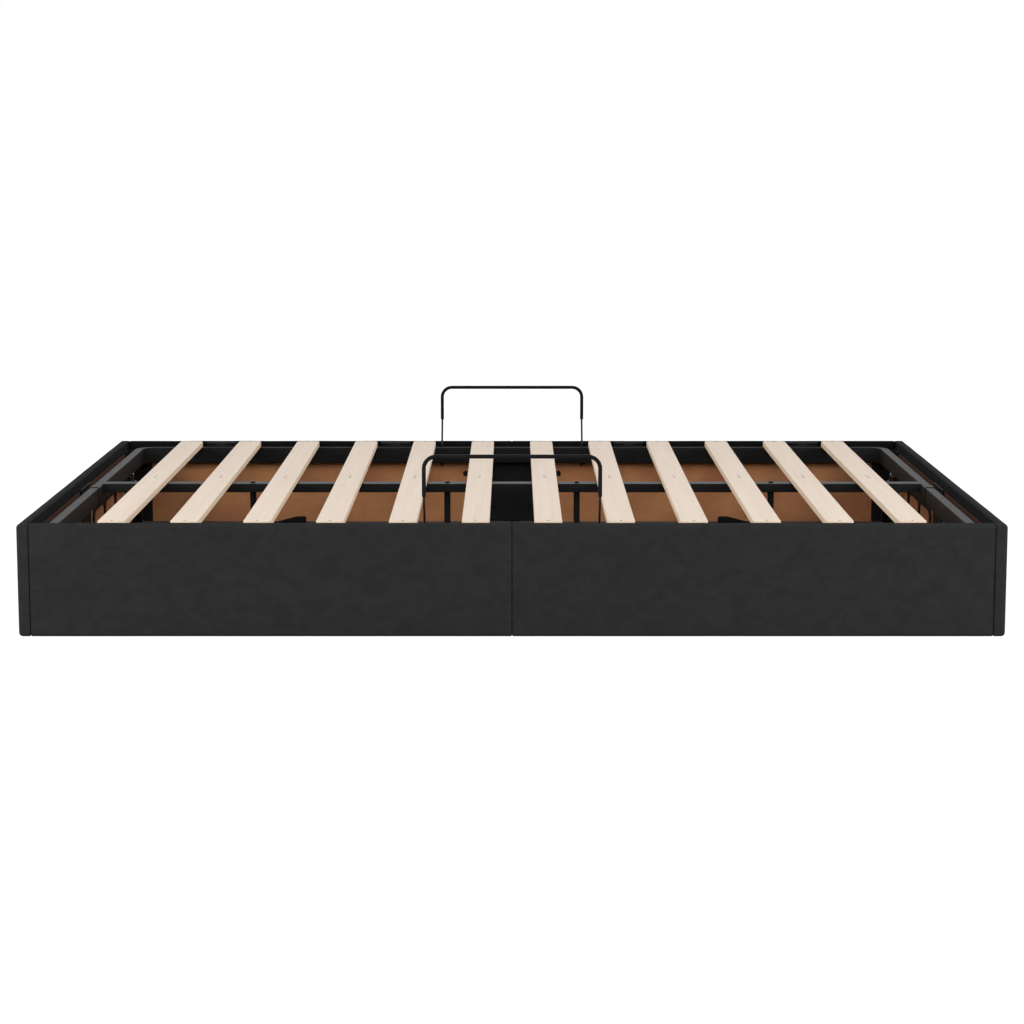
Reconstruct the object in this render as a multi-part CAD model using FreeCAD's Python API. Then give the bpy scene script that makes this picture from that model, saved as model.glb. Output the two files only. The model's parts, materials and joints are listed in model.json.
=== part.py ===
import FreeCAD, Part
import math
import os
from FreeCAD import Vector

# Side-lift ottoman bed: an upholstered storage base, a hinged slatted platform and two gas struts.
# Millimetres, +Z up, +X along the bed's length, -Y towards the side that opens.
# The origin is on the floor under the middle of the bed.

X_AXIS = Vector(1, 0, 0)
Y_AXIS = Vector(0, 1, 0)
Z_AXIS = Vector(0, 0, 1)
HALF_TURN = 180
SIDES = (-1, 1)
HEXAGON = 6

# Overall bed
LENGTH = 2030.0
WIDTH = 1430.0
PANEL_HEIGHT = 234.0
CUT_OVERRUN = 5.0

# Upholstered panels
PANEL_THICK = 24.0
BOARD_THICK = 16.0
EDGE_WRAP = 3.0
LIP_WIDTH = 22.0
LIP_THICK = 1.0
OUTER_EDGE_RADIUS = 8.0
INNER_EDGE_RADIUS = 4.0

# Steel joining plates of the base
PLATE_THICK = 3.0
PLATE_ABOVE_FLOOR = 4.0
PLATE_BELOW_TOP = 20.0
BRACKET_ABOVE_FLOOR = 1.0
BRACKET_FLANGE = 60.0
BRACKET_TAB = 26.0
BRACKET_BOLT_INSET = 34.0
JOINT_PLATE_WIDTH = 132.0
JOINT_PLATE_ABOVE_FLOOR = 1.0
JOINT_BOLT_SPREAD = 92.0
PLATE_BOLT_INSET = 40.0
BOLT_HEAD_RADIUS = 5.5
BOLT_HEAD = 4.0
SIDE_BOLT_X = 119.0
SIDE_BOLT_BELOW_TOP = 83.0

# Storage floor
FLOOR_TOP = 26.0
FLOOR_THICK = 6.0
FLOOR_GAP = 1.5
CLEAT_WIDTH = 20.0
CLEAT_CORNER_GAP = 12.0
PULL_LOOP_FROM_END = 381.0
PULL_LOOP_FROM_BACK = 40.0
PULL_LOOP_SPAN = 80.0
PULL_LOOP_OPEN = 20.0
PULL_LOOP_TIP = 5.0
PULL_LOOP_TAB = 18.0
PULL_LOOP_FOLD_SHARE = 0.42
PULL_LOOP_WIDTH = 24.0
PULL_LOOP_TIP_HEIGHT = 7.0
PULL_LOOP_FULL_WIDTH_RUN = 24.0
PULL_LOOP_THICK = 2.0

# Lift frame of rectangular tube
TUBE_WIDE = 20.0
TUBE_TALL = 40.0
TUBE_WALL = 1.5
FRAME_BELOW_TOP = 12.0
RAIL_GAP = 26.0
BAR_GAP = 9.0
FRAME_CORNER_RADIUS = 50.0
RAIL_SEAM_Y = -85.0
RAIL_SEAM_GAP = 2.0
SLEEVE_LENGTH = 120.0
SLEEVE_CLEARANCE = 0.3

# Slats
SLAT_COUNT = 12
SLAT_END_GAP = 120.0
SLAT_WIDTH = 57.0
SLAT_THICK = 14.0
SLAT_END_OVERHANG = 2.0
SLAT_CORNER_RADIUS = 9.0

# Support legs under the mid bar, between the slats
LEG_STEPS = (-4, -1, 1, 4)
LEG_RADIUS = 7.25
FOOT_RADIUS = 11.0
FOOT_HEIGHT = 8.0

# Mattress retainers
RETAINER_STEPS = 1.5
RETAINER_SLAT_GAP = 16.5
RETAINER_RISE = 139.0
RETAINER_PLANE_INSET = 8.0
RETAINER_KNEE_RISE = 50.0
RETAINER_LOOP_RISE = 56.0
RETAINER_SOCKET = 14.0
RETAINER_LOOP_RADIUS = 4.2
RETAINER_LOOP_SIDES = 16
RETAINER_ROD_RADIUS = 2.4
RETAINER_ROD_SIDES = 10
RETAINER_BORE_CLEARANCE = 0.3
RETAINER_BEND = 25.0
RETAINER_KNEE = 8.0
RETAINER_KNEE_ABOVE_BAR = 8.0
RETAINER_TAIL = 5.0
NUT_RADIUS = 6.9
NUT_HEIGHT = 5.0

# Butt hinges along the back
HINGE_STEPS = (-5, -2, 2, 5)
HINGE_WIDTH = 76.0
HINGE_KNUCKLES = 3
HINGE_SIDE_GAP = 0.3
HINGE_KNUCKLE_GAP = 0.3
HINGE_PIN_RADIUS = 2.0
HINGE_LEAF_THICK = 2.0
HINGE_LEAF_DROP = 40.0
HINGE_AXIS_BELOW_TOP = 4.0
RUNNING_CLEARANCE = 0.06

# Gas struts: both ends sit at one distance from the hinge axis
STRUT_PIN_FROM_REAR = 11.5
STRUT_PIN_ABOVE_PLATE = 12.5
STRUT_EYE_BELOW_FRAME = 12.0
LIFT_ANGLE = 40.0
STRUT_BARREL_RADIUS = 10.0
STRUT_BARREL_WALL = 2.0
STRUT_BARREL_END = 25.0
STRUT_NECK_RADIUS = 4.2
STRUT_NECK = 14.0
STRUT_CAP = 4.0
STRUT_BASE = 6.0
STRUT_ROD_RADIUS = 4.0
STRUT_ROD_SHORT = 23.0
STRUT_PISTON_CLEARANCE = 0.3
STRUT_PISTON = 8.0
EYE_RADIUS = 8.5
EYE_WIDTH = 10.0
EYE_GAP = 0.3
EYE_PIN_RADIUS = 4.0
EYE_HEAD_RADIUS = 6.5
EYE_HEAD = 2.0
EYE_SHOULDER_RADIUS = 7.5

# Strut plates
BASE_PLATE_FRONT = 100.0
BASE_PLATE_BELOW_FRAME = 22.0
BASE_PLATE_NOSE_SHARE = 0.25
BASE_PLATE_CORNER = 16.0
BASE_PLATE_WINDOW_CHAMFER = 10.0
BASE_PLATE_REAR_MARGIN = 3.0
BASE_PLATE_WEB = 24.0
BASE_PLATE_WINDOWS = 3
BASE_PLATE_FLANGE = 9.0
LIFT_PLATE_HALF = 60.0
LIFT_PLATE_EYE_MARGIN = 13.0
LIFT_PLATE_TOP_MARGIN = 5.0
LIFT_PLATE_CORNER = 8.0
LIFT_PLATE_BOLT_REACH = 42.0

# Derived places
HALF_LENGTH = LENGTH / 2
HALF_WIDTH = WIDTH / 2
INNER_X = HALF_LENGTH - PANEL_THICK
INNER_Y = HALF_WIDTH - PANEL_THICK
FLOOR_BOTTOM = FLOOR_TOP - FLOOR_THICK
FRAME_TOP = PANEL_HEIGHT - FRAME_BELOW_TOP
FRAME_BOTTOM = FRAME_TOP - TUBE_TALL
RAIL_OUTER_X = INNER_X - RAIL_GAP
RAIL_INNER_X = RAIL_OUTER_X - TUBE_WIDE
RAIL_MID_X = RAIL_OUTER_X - TUBE_WIDE / 2
BAR_OUTER_Y = INNER_Y - BAR_GAP
BAR_MID_Y = BAR_OUTER_Y - TUBE_WIDE / 2
MID_BAR_BOTTOM = FRAME_TOP - TUBE_WIDE
BRACKET_BOTTOM = FLOOR_TOP + BRACKET_ABOVE_FLOOR
BRACKET_TOP = PANEL_HEIGHT - PLATE_BELOW_TOP
JOINT_PLATE_BOTTOM = FLOOR_TOP + JOINT_PLATE_ABOVE_FLOOR
JOINT_PLATE_TOP = PANEL_HEIGHT - PLATE_BELOW_TOP
SIDE_BOLT_Z = PANEL_HEIGHT - SIDE_BOLT_BELOW_TOP
SLAT_LENGTH = 2 * (BAR_OUTER_Y + SLAT_END_OVERHANG)
SLAT_STEP = 2 * (RAIL_INNER_X - SLAT_END_GAP) / (SLAT_COUNT - 1)
SLAT_X = [(index - (SLAT_COUNT - 1) / 2) * SLAT_STEP for index in range(SLAT_COUNT)]
LEG_X = [steps * SLAT_STEP for steps in LEG_STEPS]
HINGE_X = [steps * SLAT_STEP for steps in HINGE_STEPS]
RETAINER_HALF_SPAN = RETAINER_STEPS * SLAT_STEP - SLAT_WIDTH / 2 - RETAINER_SLAT_GAP
RETAINER_Y = HALF_WIDTH - RETAINER_PLANE_INSET
RETAINER_TOP = PANEL_HEIGHT + RETAINER_RISE
RETAINER_KNEE_TOP = PANEL_HEIGHT + RETAINER_KNEE_RISE
RETAINER_LOOP_BOTTOM = PANEL_HEIGHT + RETAINER_LOOP_RISE
HINGE_Y = INNER_Y - BAR_GAP / 2
HINGE_Z = PANEL_HEIGHT - HINGE_AXIS_BELOW_TOP
HINGE_KNUCKLE_RADIUS = BAR_GAP / 2 - HINGE_SIDE_GAP
BASE_PLATE_BOTTOM = FLOOR_TOP + PLATE_ABOVE_FLOOR
BASE_PLATE_TOP = FRAME_BOTTOM - BASE_PLATE_BELOW_FRAME
BASE_PLATE_NOSE = (BASE_PLATE_TOP - BASE_PLATE_BOTTOM) * BASE_PLATE_NOSE_SHARE
BASE_PLATE_REAR = INNER_Y - BRACKET_FLANGE - BASE_PLATE_REAR_MARGIN
STRUT_BORE_RADIUS = STRUT_BARREL_RADIUS - STRUT_BARREL_WALL
STRUT_PISTON_RADIUS = STRUT_BORE_RADIUS - STRUT_PISTON_CLEARANCE

# Both ends of a strut at rest, at one distance from the hinge axis
STRUT_LOW_Y = BASE_PLATE_REAR - STRUT_PIN_FROM_REAR
STRUT_LOW_Z = BASE_PLATE_BOTTOM + STRUT_PIN_ABOVE_PLATE
STRUT_REACH = math.hypot(HINGE_Y - STRUT_LOW_Y, HINGE_Z - STRUT_LOW_Z)
STRUT_HIGH_Z = FRAME_BOTTOM - STRUT_EYE_BELOW_FRAME
STRUT_HIGH_Y = HINGE_Y - math.sqrt(STRUT_REACH ** 2 - (HINGE_Z - STRUT_HIGH_Z) ** 2)


def box(low, high):
    """A box between two corners."""
    return Part.makeBox(high.x - low.x, high.y - low.y, high.z - low.z, low)


def fused(shapes):
    """One solid from touching or overlapping shapes."""
    shapes = list(shapes)
    return shapes[0].multiFuse(shapes[1:]).removeSplitter()


def rounded_edges(points, radii, closed=True):
    """Lines through the points with a tangent arc at each corner that has a radius."""
    count = len(points)
    starts, ends, arcs = [], [], []
    for index, (point, radius) in enumerate(zip(points, radii)):
        at_end = not closed and index in (0, count - 1)
        if radius == 0 or at_end:
            starts.append(point)
            ends.append(point)
            arcs.append(None)
            continue
        back = (points[index - 1] - point).normalize()
        ahead = (points[(index + 1) % count] - point).normalize()
        half = back.getAngle(ahead) / 2
        reach = radius / math.tan(half)
        middle = (back + ahead).normalize() * (radius / math.sin(half) - radius)
        starts.append(point + back * reach)
        ends.append(point + ahead * reach)
        arcs.append(Part.Arc(starts[-1], point + middle, ends[-1]).toShape())
    edges = []
    for index in range(count):
        if arcs[index] is not None:
            edges.append(arcs[index])
        following = (index + 1) % count
        if not closed and following == 0:
            break
        if ends[index].distanceToPoint(starts[following]) > Part.Precision.confusion():
            edges.append(Part.makeLine(ends[index], starts[following]))
    return edges


def rounded_wire(points, radii, closed=True):
    return Part.Wire(rounded_edges(points, radii, closed))


def rounded_prism(points, radii, along):
    """A closed rounded outline pushed along a vector."""
    return Part.Face(rounded_wire(points, radii)).extrude(along)


def rod_along(start, direction, radius, length):
    return Part.makeCylinder(radius, length, start, direction)


def ring(centre, normal, across, radius, sides):
    """A regular polygon about a centre, as points."""
    up = normal.cross(across)
    turns = [2 * math.pi * step / sides for step in range(sides)]
    return [centre + across * (radius * math.cos(t)) + up * (radius * math.sin(t)) for t in turns]


def many_sided(centre, normal, across, radius, sides):
    points = ring(centre, normal, across, radius, sides)
    return Part.Face(Part.makePolygon(points + points[:1]))


def bent_bar(points, radii, across, radius, sides):
    """A bar that follows a flat path of straight runs and tangent bends."""
    path = rounded_wire(points, radii, closed=False)
    heading = (points[1] - points[0]).normalize()
    return path.makePipe(many_sided(points[0], heading, across, radius, sides))


def hex_head(centre, normal, across, radius, height):
    """A hexagon bolt head or nut that stands on a face."""
    return many_sided(centre, normal, across, radius, HEXAGON).extrude(normal * height)


def cut_all(shape, cutters):
    return shape.cut(Part.makeCompound(list(cutters)))


def save(name, shape):
    """Write one node; a list of separate solids becomes a group."""
    if isinstance(shape, (list, tuple)):
        shape = Part.makeCompound(list(shape))
    shape.exportStep(os.path.join("parts", name + ".step"))


def panel_placement(side):
    """Turn a panel made along X with its inner face on Y = 0 to one side of the bed."""
    turns = {"back": 0, "left": 1, "front": 2, "right": 3}
    angle = turns[side] * HALF_TURN / 2
    reach = INNER_Y if side in ("back", "front") else INNER_X
    turn = FreeCAD.Rotation(Z_AXIS, angle)
    return FreeCAD.Placement(turn.multVec(Y_AXIS) * reach, turn)


def on_side(shape, side):
    moved = shape.copy()
    moved.Placement = panel_placement(side).multiply(moved.Placement)
    return moved


def panel_halves(side):
    """Run of each half panel along its side, by the half's name."""
    half = INNER_X if side in ("back", "front") else HALF_WIDTH
    low_names = {"back": "left", "front": "right", "left": "front", "right": "back"}
    high_names = {"back": "right", "front": "left", "left": "back", "right": "front"}
    return {low_names[side]: (-half, 0), high_names[side]: (0, half)}


def panel_body(start, end):
    """The rounded outer form of one upholstered half panel."""
    corners = [
        Vector(start, 0, 0),
        Vector(start, PANEL_THICK, 0),
        Vector(start, PANEL_THICK, PANEL_HEIGHT),
        Vector(start, 0, PANEL_HEIGHT),
    ]
    radii = [INNER_EDGE_RADIUS, INNER_EDGE_RADIUS, OUTER_EDGE_RADIUS, INNER_EDGE_RADIUS]
    return rounded_prism(corners, radii, X_AXIS * (end - start))


def panel_board(start, end):
    """The bare board: its rim steps back to take the cloth that is turned over its edges."""
    core = box(
        Vector(start + EDGE_WRAP, LIP_THICK, EDGE_WRAP),
        Vector(end - EDGE_WRAP, BOARD_THICK, PANEL_HEIGHT - EDGE_WRAP),
    )
    bare_face = box(
        Vector(start + LIP_WIDTH, 0, LIP_WIDTH),
        Vector(end - LIP_WIDTH, LIP_THICK, PANEL_HEIGHT - LIP_WIDTH),
    )
    return fused([core, bare_face])


def panel_bolt(x, z, lift):
    """The head of a bolt that stands on a plate or on the bare board."""
    return hex_head(Vector(x, -lift, z), -Y_AXIS, X_AXIS, BOLT_HEAD_RADIUS, BOLT_HEAD)


def bracket_bolt_heights():
    return (BRACKET_BOTTOM + PLATE_BOLT_INSET, BRACKET_TOP - PLATE_BOLT_INSET)


def joint_bolt_places():
    heights = (JOINT_PLATE_BOTTOM + PLATE_BOLT_INSET, JOINT_PLATE_TOP - PLATE_BOLT_INSET)
    return [(side * JOINT_BOLT_SPREAD / 2, z) for side in SIDES for z in heights]


def side_half_run(side):
    """Half the clear length of a side between the inner corners."""
    return INNER_X if side in ("back", "front") else INNER_Y


def plate_bolt_places(side):
    """Every bolt that stands on a plate of this side: corner brackets and the joint plate."""
    reach = side_half_run(side) - BRACKET_BOLT_INSET
    corners = [(end * reach, z) for end in SIDES for z in bracket_bolt_heights()]
    return corners + joint_bolt_places()


def bare_bolt_places(side):
    """Bolts that stand on the bare board."""
    if side in ("back", "front"):
        return [(end * SIDE_BOLT_X, SIDE_BOLT_Z) for end in SIDES]
    return []


def make_panels():
    for side in ("front", "back", "left", "right"):
        for half, (start, end) in panel_halves(side).items():
            board = panel_board(start, end)
            cover = panel_body(start, end).cut(board)
            save("cover_%s_%s" % (side, half), on_side(cover, side))
            save("board_%s_%s" % (side, half), on_side(board, side))


def corner_bracket(x_side, y_side):
    """A steel angle in one inner corner, with a small tab at its foot."""
    corner = Vector(x_side * INNER_X, y_side * INNER_Y, 0)
    legs = []
    for reach_x, reach_y in ((BRACKET_FLANGE, PLATE_THICK), (PLATE_THICK, BRACKET_FLANGE)):
        legs.append((reach_x, reach_y, BRACKET_BOTTOM, BRACKET_TOP))
    legs.append((BRACKET_TAB, BRACKET_TAB, BRACKET_BOTTOM, BRACKET_BOTTOM + PLATE_THICK))
    solids = []
    for reach_x, reach_y, bottom, top in legs:
        xs = sorted((corner.x, corner.x - x_side * reach_x))
        ys = sorted((corner.y, corner.y - y_side * reach_y))
        solids.append(box(Vector(xs[0], ys[0], bottom), Vector(xs[1], ys[1], top)))
    return fused(solids)


def make_base_steel():
    """Corner brackets, joint plates and the bolts that hold the base's steel."""
    half = JOINT_PLATE_WIDTH / 2
    plate = box(Vector(-half, -PLATE_THICK, JOINT_PLATE_BOTTOM), Vector(half, 0, JOINT_PLATE_TOP))
    plates, bolts = [], []
    for side in ("front", "back", "left", "right"):
        plates.append(on_side(plate, side))
        places = plate_bolt_places(side)
        if side in ("left", "right"):
            places = places + base_plate_bolt_places(side)
        bolts += [on_side(panel_bolt(x, z, PLATE_THICK), side) for x, z in places]
        bolts += [on_side(panel_bolt(x, z, 0), side) for x, z in bare_bolt_places(side)]
    save("corner_brackets", [corner_bracket(x_side, y_side) for x_side in SIDES for y_side in SIDES])
    save("joint_plates", plates)
    save("panel_bolts", bolts)


def pull_loop_outline(x_side, inset, tip_inset):
    """The strap's loop in plan: round at its inner fold, narrow at its outer sewn end."""
    outer = INNER_X - PULL_LOOP_FROM_END
    inner = outer - PULL_LOOP_SPAN
    middle = INNER_Y - PULL_LOOP_FROM_BACK - PULL_LOOP_OPEN / 2
    narrowing = (PULL_LOOP_OPEN - PULL_LOOP_TIP) / 2 / PULL_LOOP_SPAN
    at_fold = PULL_LOOP_OPEN / 2 - inset
    at_tip = PULL_LOOP_TIP / 2 + narrowing * tip_inset - inset
    corners = (
        (inner + inset, -at_fold),
        (outer - tip_inset, -at_tip),
        (outer - tip_inset, at_tip),
        (inner + inset, at_fold),
    )
    points = [Vector(x_side * x, middle + y, FLOOR_TOP) for x, y in corners]
    fold = PULL_LOOP_OPEN * PULL_LOOP_FOLD_SHARE - inset
    return rounded_prism(points, [fold, 0, 0, fold], Z_AXIS * PULL_LOOP_WIDTH)


def pull_loop(x_side):
    """A webbing strap folded back on itself: upright at its fold, lying down at its sewn end."""
    outer = INNER_X - PULL_LOOP_FROM_END
    full_width_end = outer - PULL_LOOP_SPAN + PULL_LOOP_FULL_WIDTH_RUN
    rise = (PULL_LOOP_WIDTH - PULL_LOOP_TIP_HEIGHT) / (outer - full_width_end)
    top = FLOOR_TOP + PULL_LOOP_WIDTH
    y = INNER_Y - PULL_LOOP_FROM_BACK + CUT_OVERRUN
    slope = (
        (outer + CUT_OVERRUN, FLOOR_TOP + PULL_LOOP_TIP_HEIGHT - rise * CUT_OVERRUN),
        (outer + CUT_OVERRUN, top + CUT_OVERRUN),
        (full_width_end - CUT_OVERRUN / rise, top + CUT_OVERRUN),
    )
    points = [Vector(x_side * x, y, z) for x, z in slope]
    above = Part.Face(Part.makePolygon(points + points[:1]))
    above = above.extrude(Y_AXIS * -(PULL_LOOP_OPEN + CUT_OVERRUN * 2))
    loop = pull_loop_outline(x_side, 0, 0).cut(pull_loop_outline(x_side, PULL_LOOP_THICK, PULL_LOOP_TAB))
    return loop.cut(above)


def make_floor():
    """Floor boards, the cleats and rail that carry them, and two pull loops."""
    reach_x = INNER_X - FLOOR_GAP
    reach_y = INNER_Y - FLOOR_GAP
    x_runs = {"left": (-reach_x, -FLOOR_GAP / 2), "right": (FLOOR_GAP / 2, reach_x)}
    y_runs = {"front": (-reach_y, -FLOOR_GAP / 2), "back": (FLOOR_GAP / 2, reach_y)}
    for x_name, (x_low, x_high) in x_runs.items():
        for y_name, (y_low, y_high) in y_runs.items():
            board = box(Vector(x_low, y_low, FLOOR_BOTTOM), Vector(x_high, y_high, FLOOR_TOP))
            save("floor_board_%s_%s" % (x_name, y_name), board)
    cleats = []
    for side in ("front", "back", "left", "right"):
        half = side_half_run(side) - CLEAT_WIDTH - CLEAT_CORNER_GAP
        cleat = box(Vector(-half, -CLEAT_WIDTH, 0), Vector(half, 0, FLOOR_BOTTOM))
        cleats.append(on_side(cleat, side))
    save("floor_cleats", cleats)
    rail_end = INNER_X - CLEAT_WIDTH - FLOOR_GAP
    rail = box(Vector(-rail_end, -TUBE_TALL / 2, 0), Vector(rail_end, TUBE_TALL / 2, FLOOR_BOTTOM))
    hollow = box(
        Vector(-rail_end - CUT_OVERRUN, -TUBE_TALL / 2 + TUBE_WALL, TUBE_WALL),
        Vector(rail_end + CUT_OVERRUN, TUBE_TALL / 2 - TUBE_WALL, FLOOR_BOTTOM - TUBE_WALL),
    )
    save("floor_centre_rail", rail.cut(hollow))
    save("floor_pull_loops", [pull_loop(side) for side in SIDES])


def hoop_prism(y_side, end_y, inset, bottom, top):
    """A U of rectangular section in plan, inset from the tube's outer faces."""
    outer_x = RAIL_OUTER_X - inset
    inner_x = RAIL_INNER_X + inset
    outer_y = y_side * (BAR_OUTER_Y - inset)
    inner_y = y_side * (BAR_OUTER_Y - TUBE_WIDE + inset)
    outer_radius = FRAME_CORNER_RADIUS - inset
    inner_radius = FRAME_CORNER_RADIUS - TUBE_WIDE + inset
    points = [
        Vector(-outer_x, end_y, bottom),
        Vector(-outer_x, outer_y, bottom),
        Vector(outer_x, outer_y, bottom),
        Vector(outer_x, end_y, bottom),
        Vector(inner_x, end_y, bottom),
        Vector(inner_x, inner_y, bottom),
        Vector(-inner_x, inner_y, bottom),
        Vector(-inner_x, end_y, bottom),
    ]
    radii = [0, outer_radius, outer_radius, 0, 0, inner_radius, inner_radius, 0]
    return rounded_prism(points, radii, Z_AXIS * (top - bottom))


def retainer_hole(x, y_side):
    """A way through a long bar for a retainer's rod."""
    low = Vector(x, y_side * BAR_MID_Y, FRAME_BOTTOM - CUT_OVERRUN)
    radius = RETAINER_ROD_RADIUS + RETAINER_BORE_CLEARANCE
    face = many_sided(low, Z_AXIS, X_AXIS, radius, RETAINER_ROD_SIDES)
    return face.extrude(Z_AXIS * (TUBE_TALL + CUT_OVERRUN * 2))


def make_lift_frame():
    """Two U hoops of tube, the sleeves that join them and the mid bar."""
    ends = {"front": (-1, RAIL_SEAM_Y - RAIL_SEAM_GAP / 2), "back": (1, RAIL_SEAM_Y + RAIL_SEAM_GAP / 2)}
    for name, (y_side, end_y) in ends.items():
        hoop = hoop_prism(y_side, end_y, 0, FRAME_BOTTOM, FRAME_TOP)
        past_end = end_y - y_side * CUT_OVERRUN
        bore = hoop_prism(y_side, past_end, TUBE_WALL, FRAME_BOTTOM + TUBE_WALL, FRAME_TOP - TUBE_WALL)
        rod_holes = [retainer_hole(side * RETAINER_HALF_SPAN, y_side) for side in SIDES]
        save("frame_hoop_" + name, cut_all(hoop, [bore] + rod_holes))
    inset = TUBE_WALL + SLEEVE_CLEARANCE
    sleeves = []
    for side in SIDES:
        xs = sorted((side * (RAIL_OUTER_X - inset), side * (RAIL_INNER_X + inset)))
        low = Vector(xs[0], RAIL_SEAM_Y - SLEEVE_LENGTH / 2, FRAME_BOTTOM + inset)
        high = Vector(xs[1], RAIL_SEAM_Y + SLEEVE_LENGTH / 2, FRAME_TOP - inset)
        sleeves.append(box(low, high))
    save("rail_sleeves", sleeves)
    bar = box(
        Vector(-RAIL_INNER_X, -TUBE_TALL / 2, MID_BAR_BOTTOM),
        Vector(RAIL_INNER_X, TUBE_TALL / 2, FRAME_TOP),
    )
    bore = box(
        Vector(-RAIL_INNER_X - CUT_OVERRUN, -TUBE_TALL / 2 + TUBE_WALL, MID_BAR_BOTTOM + TUBE_WALL),
        Vector(RAIL_INNER_X + CUT_OVERRUN, TUBE_TALL / 2 - TUBE_WALL, FRAME_TOP - TUBE_WALL),
    )
    save("mid_bar", bar.cut(bore))


def slat(x):
    """One slat with rounded corners in plan."""
    half = SLAT_WIDTH / 2
    reach = SLAT_LENGTH / 2
    outline = [
        Vector(x - half, -reach, FRAME_TOP),
        Vector(x + half, -reach, FRAME_TOP),
        Vector(x + half, reach, FRAME_TOP),
        Vector(x - half, reach, FRAME_TOP),
    ]
    return rounded_prism(outline, [SLAT_CORNER_RADIUS] * len(outline), Z_AXIS * SLAT_THICK)


def make_slats():
    for index, x in enumerate(SLAT_X):
        save("slat_%02d" % (index + 1), slat(x))


def support_leg(x):
    """A round leg between its foot and the underside of the mid bar."""
    bottom = FLOOR_TOP + FOOT_HEIGHT
    return rod_along(Vector(x, 0, bottom), Z_AXIS, LEG_RADIUS, MID_BAR_BOTTOM - bottom)


def leg_foot(x):
    return rod_along(Vector(x, 0, FLOOR_TOP), Z_AXIS, FOOT_RADIUS, FOOT_HEIGHT)


def retainer_rod(x, y_side):
    """A bent rod from its nut under the bar up into the loop's end."""
    bar_y = y_side * BAR_MID_Y
    plane_y = y_side * RETAINER_Y
    points = [
        Vector(x, bar_y, FRAME_BOTTOM - NUT_HEIGHT - RETAINER_TAIL),
        Vector(x, bar_y, FRAME_TOP + RETAINER_KNEE_ABOVE_BAR),
        Vector(x, plane_y, RETAINER_KNEE_TOP),
        Vector(x, plane_y, RETAINER_LOOP_BOTTOM + RETAINER_SOCKET),
    ]
    bends = [0, RETAINER_KNEE, RETAINER_KNEE, 0]
    return bent_bar(points, bends, X_AXIS, RETAINER_ROD_RADIUS, RETAINER_ROD_SIDES)


def retainer_loop(y_side):
    """The thick loop, with a socket in each end for its rod."""
    plane_y = y_side * RETAINER_Y
    half = RETAINER_HALF_SPAN
    points = [
        Vector(-half, plane_y, RETAINER_LOOP_BOTTOM),
        Vector(-half, plane_y, RETAINER_TOP),
        Vector(half, plane_y, RETAINER_TOP),
        Vector(half, plane_y, RETAINER_LOOP_BOTTOM),
    ]
    bends = [0, RETAINER_BEND, RETAINER_BEND, 0]
    loop = bent_bar(points, bends, X_AXIS, RETAINER_LOOP_RADIUS, RETAINER_LOOP_SIDES)
    radius = RETAINER_ROD_RADIUS + RETAINER_BORE_CLEARANCE
    sockets = []
    for end in (points[0], points[-1]):
        mouth = end - Z_AXIS * CUT_OVERRUN
        face = many_sided(mouth, Z_AXIS, X_AXIS, radius, RETAINER_ROD_SIDES)
        sockets.append(face.extrude(Z_AXIS * (CUT_OVERRUN + RETAINER_SOCKET)))
    return cut_all(loop, sockets)


def retainer_nut(x, y_side):
    """A hexagon nut under the long bar."""
    seat = Vector(x, y_side * BAR_MID_Y, FRAME_BOTTOM)
    return hex_head(seat, -Z_AXIS, X_AXIS, NUT_RADIUS, NUT_HEIGHT).cut(retainer_hole(x, y_side))


def lift_plate_bolts(x_side):
    low, high, along = strut_line(x_side)
    z = (FRAME_BOTTOM + FRAME_TOP) / 2
    x = x_side * (RAIL_OUTER_X + PLATE_THICK)
    places = [Vector(x, high.y + end * LIFT_PLATE_BOLT_REACH, z) for end in SIDES]
    return [hex_head(place, X_AXIS * x_side, Y_AXIS, BOLT_HEAD_RADIUS, BOLT_HEAD) for place in places]


def make_platform_fittings():
    """Legs, feet, retainers and the platform's larger fasteners."""
    save("support_legs", [support_leg(x) for x in LEG_X])
    save("leg_feet", [leg_foot(x) for x in LEG_X])
    for name, y_side in (("front", -1), ("back", 1)):
        rods = [retainer_rod(side * RETAINER_HALF_SPAN, y_side) for side in SIDES]
        save("retainer_rods_" + name, rods)
        save("retainer_loop_" + name, retainer_loop(y_side))
    leg_tops = [Vector(x, 0, FRAME_TOP) for x in LEG_X]
    fasteners = [hex_head(place, Z_AXIS, X_AXIS, BOLT_HEAD_RADIUS, BOLT_HEAD) for place in leg_tops]
    fasteners += [retainer_nut(x * RETAINER_HALF_SPAN, y) for x in SIDES for y in SIDES]
    fasteners += [bolt for x_side in SIDES for bolt in lift_plate_bolts(x_side)]
    save("platform_fasteners", fasteners)


def hinge_knuckle(x, index, grows_from_y, leaf_top):
    """One knuckle and the tab that joins it to its leaf."""
    pitch = HINGE_WIDTH / HINGE_KNUCKLES
    low_x = x - HINGE_WIDTH / 2 + index * pitch + HINGE_KNUCKLE_GAP / 2
    length = pitch - HINGE_KNUCKLE_GAP
    barrel = rod_along(Vector(low_x, HINGE_Y, HINGE_Z), X_AXIS, HINGE_KNUCKLE_RADIUS, length)
    ys = sorted(grows_from_y)
    tab = box(Vector(low_x, ys[0], leaf_top), Vector(low_x + length, ys[1], HINGE_Z))
    return [barrel, tab]


def hinge_leaf(x, own_knuckles, back_y, front_y):
    """A flat leaf that hangs from its own knuckles."""
    leaf_top = HINGE_Z - HINGE_KNUCKLE_RADIUS - HINGE_KNUCKLE_GAP
    ys = sorted((back_y, front_y))
    low = Vector(x - HINGE_WIDTH / 2, ys[0], leaf_top - HINGE_LEAF_DROP)
    solids = [box(low, Vector(x + HINGE_WIDTH / 2, ys[1], leaf_top))]
    for index in own_knuckles:
        solids += hinge_knuckle(x, index, ys, leaf_top)
    return solids


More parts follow.
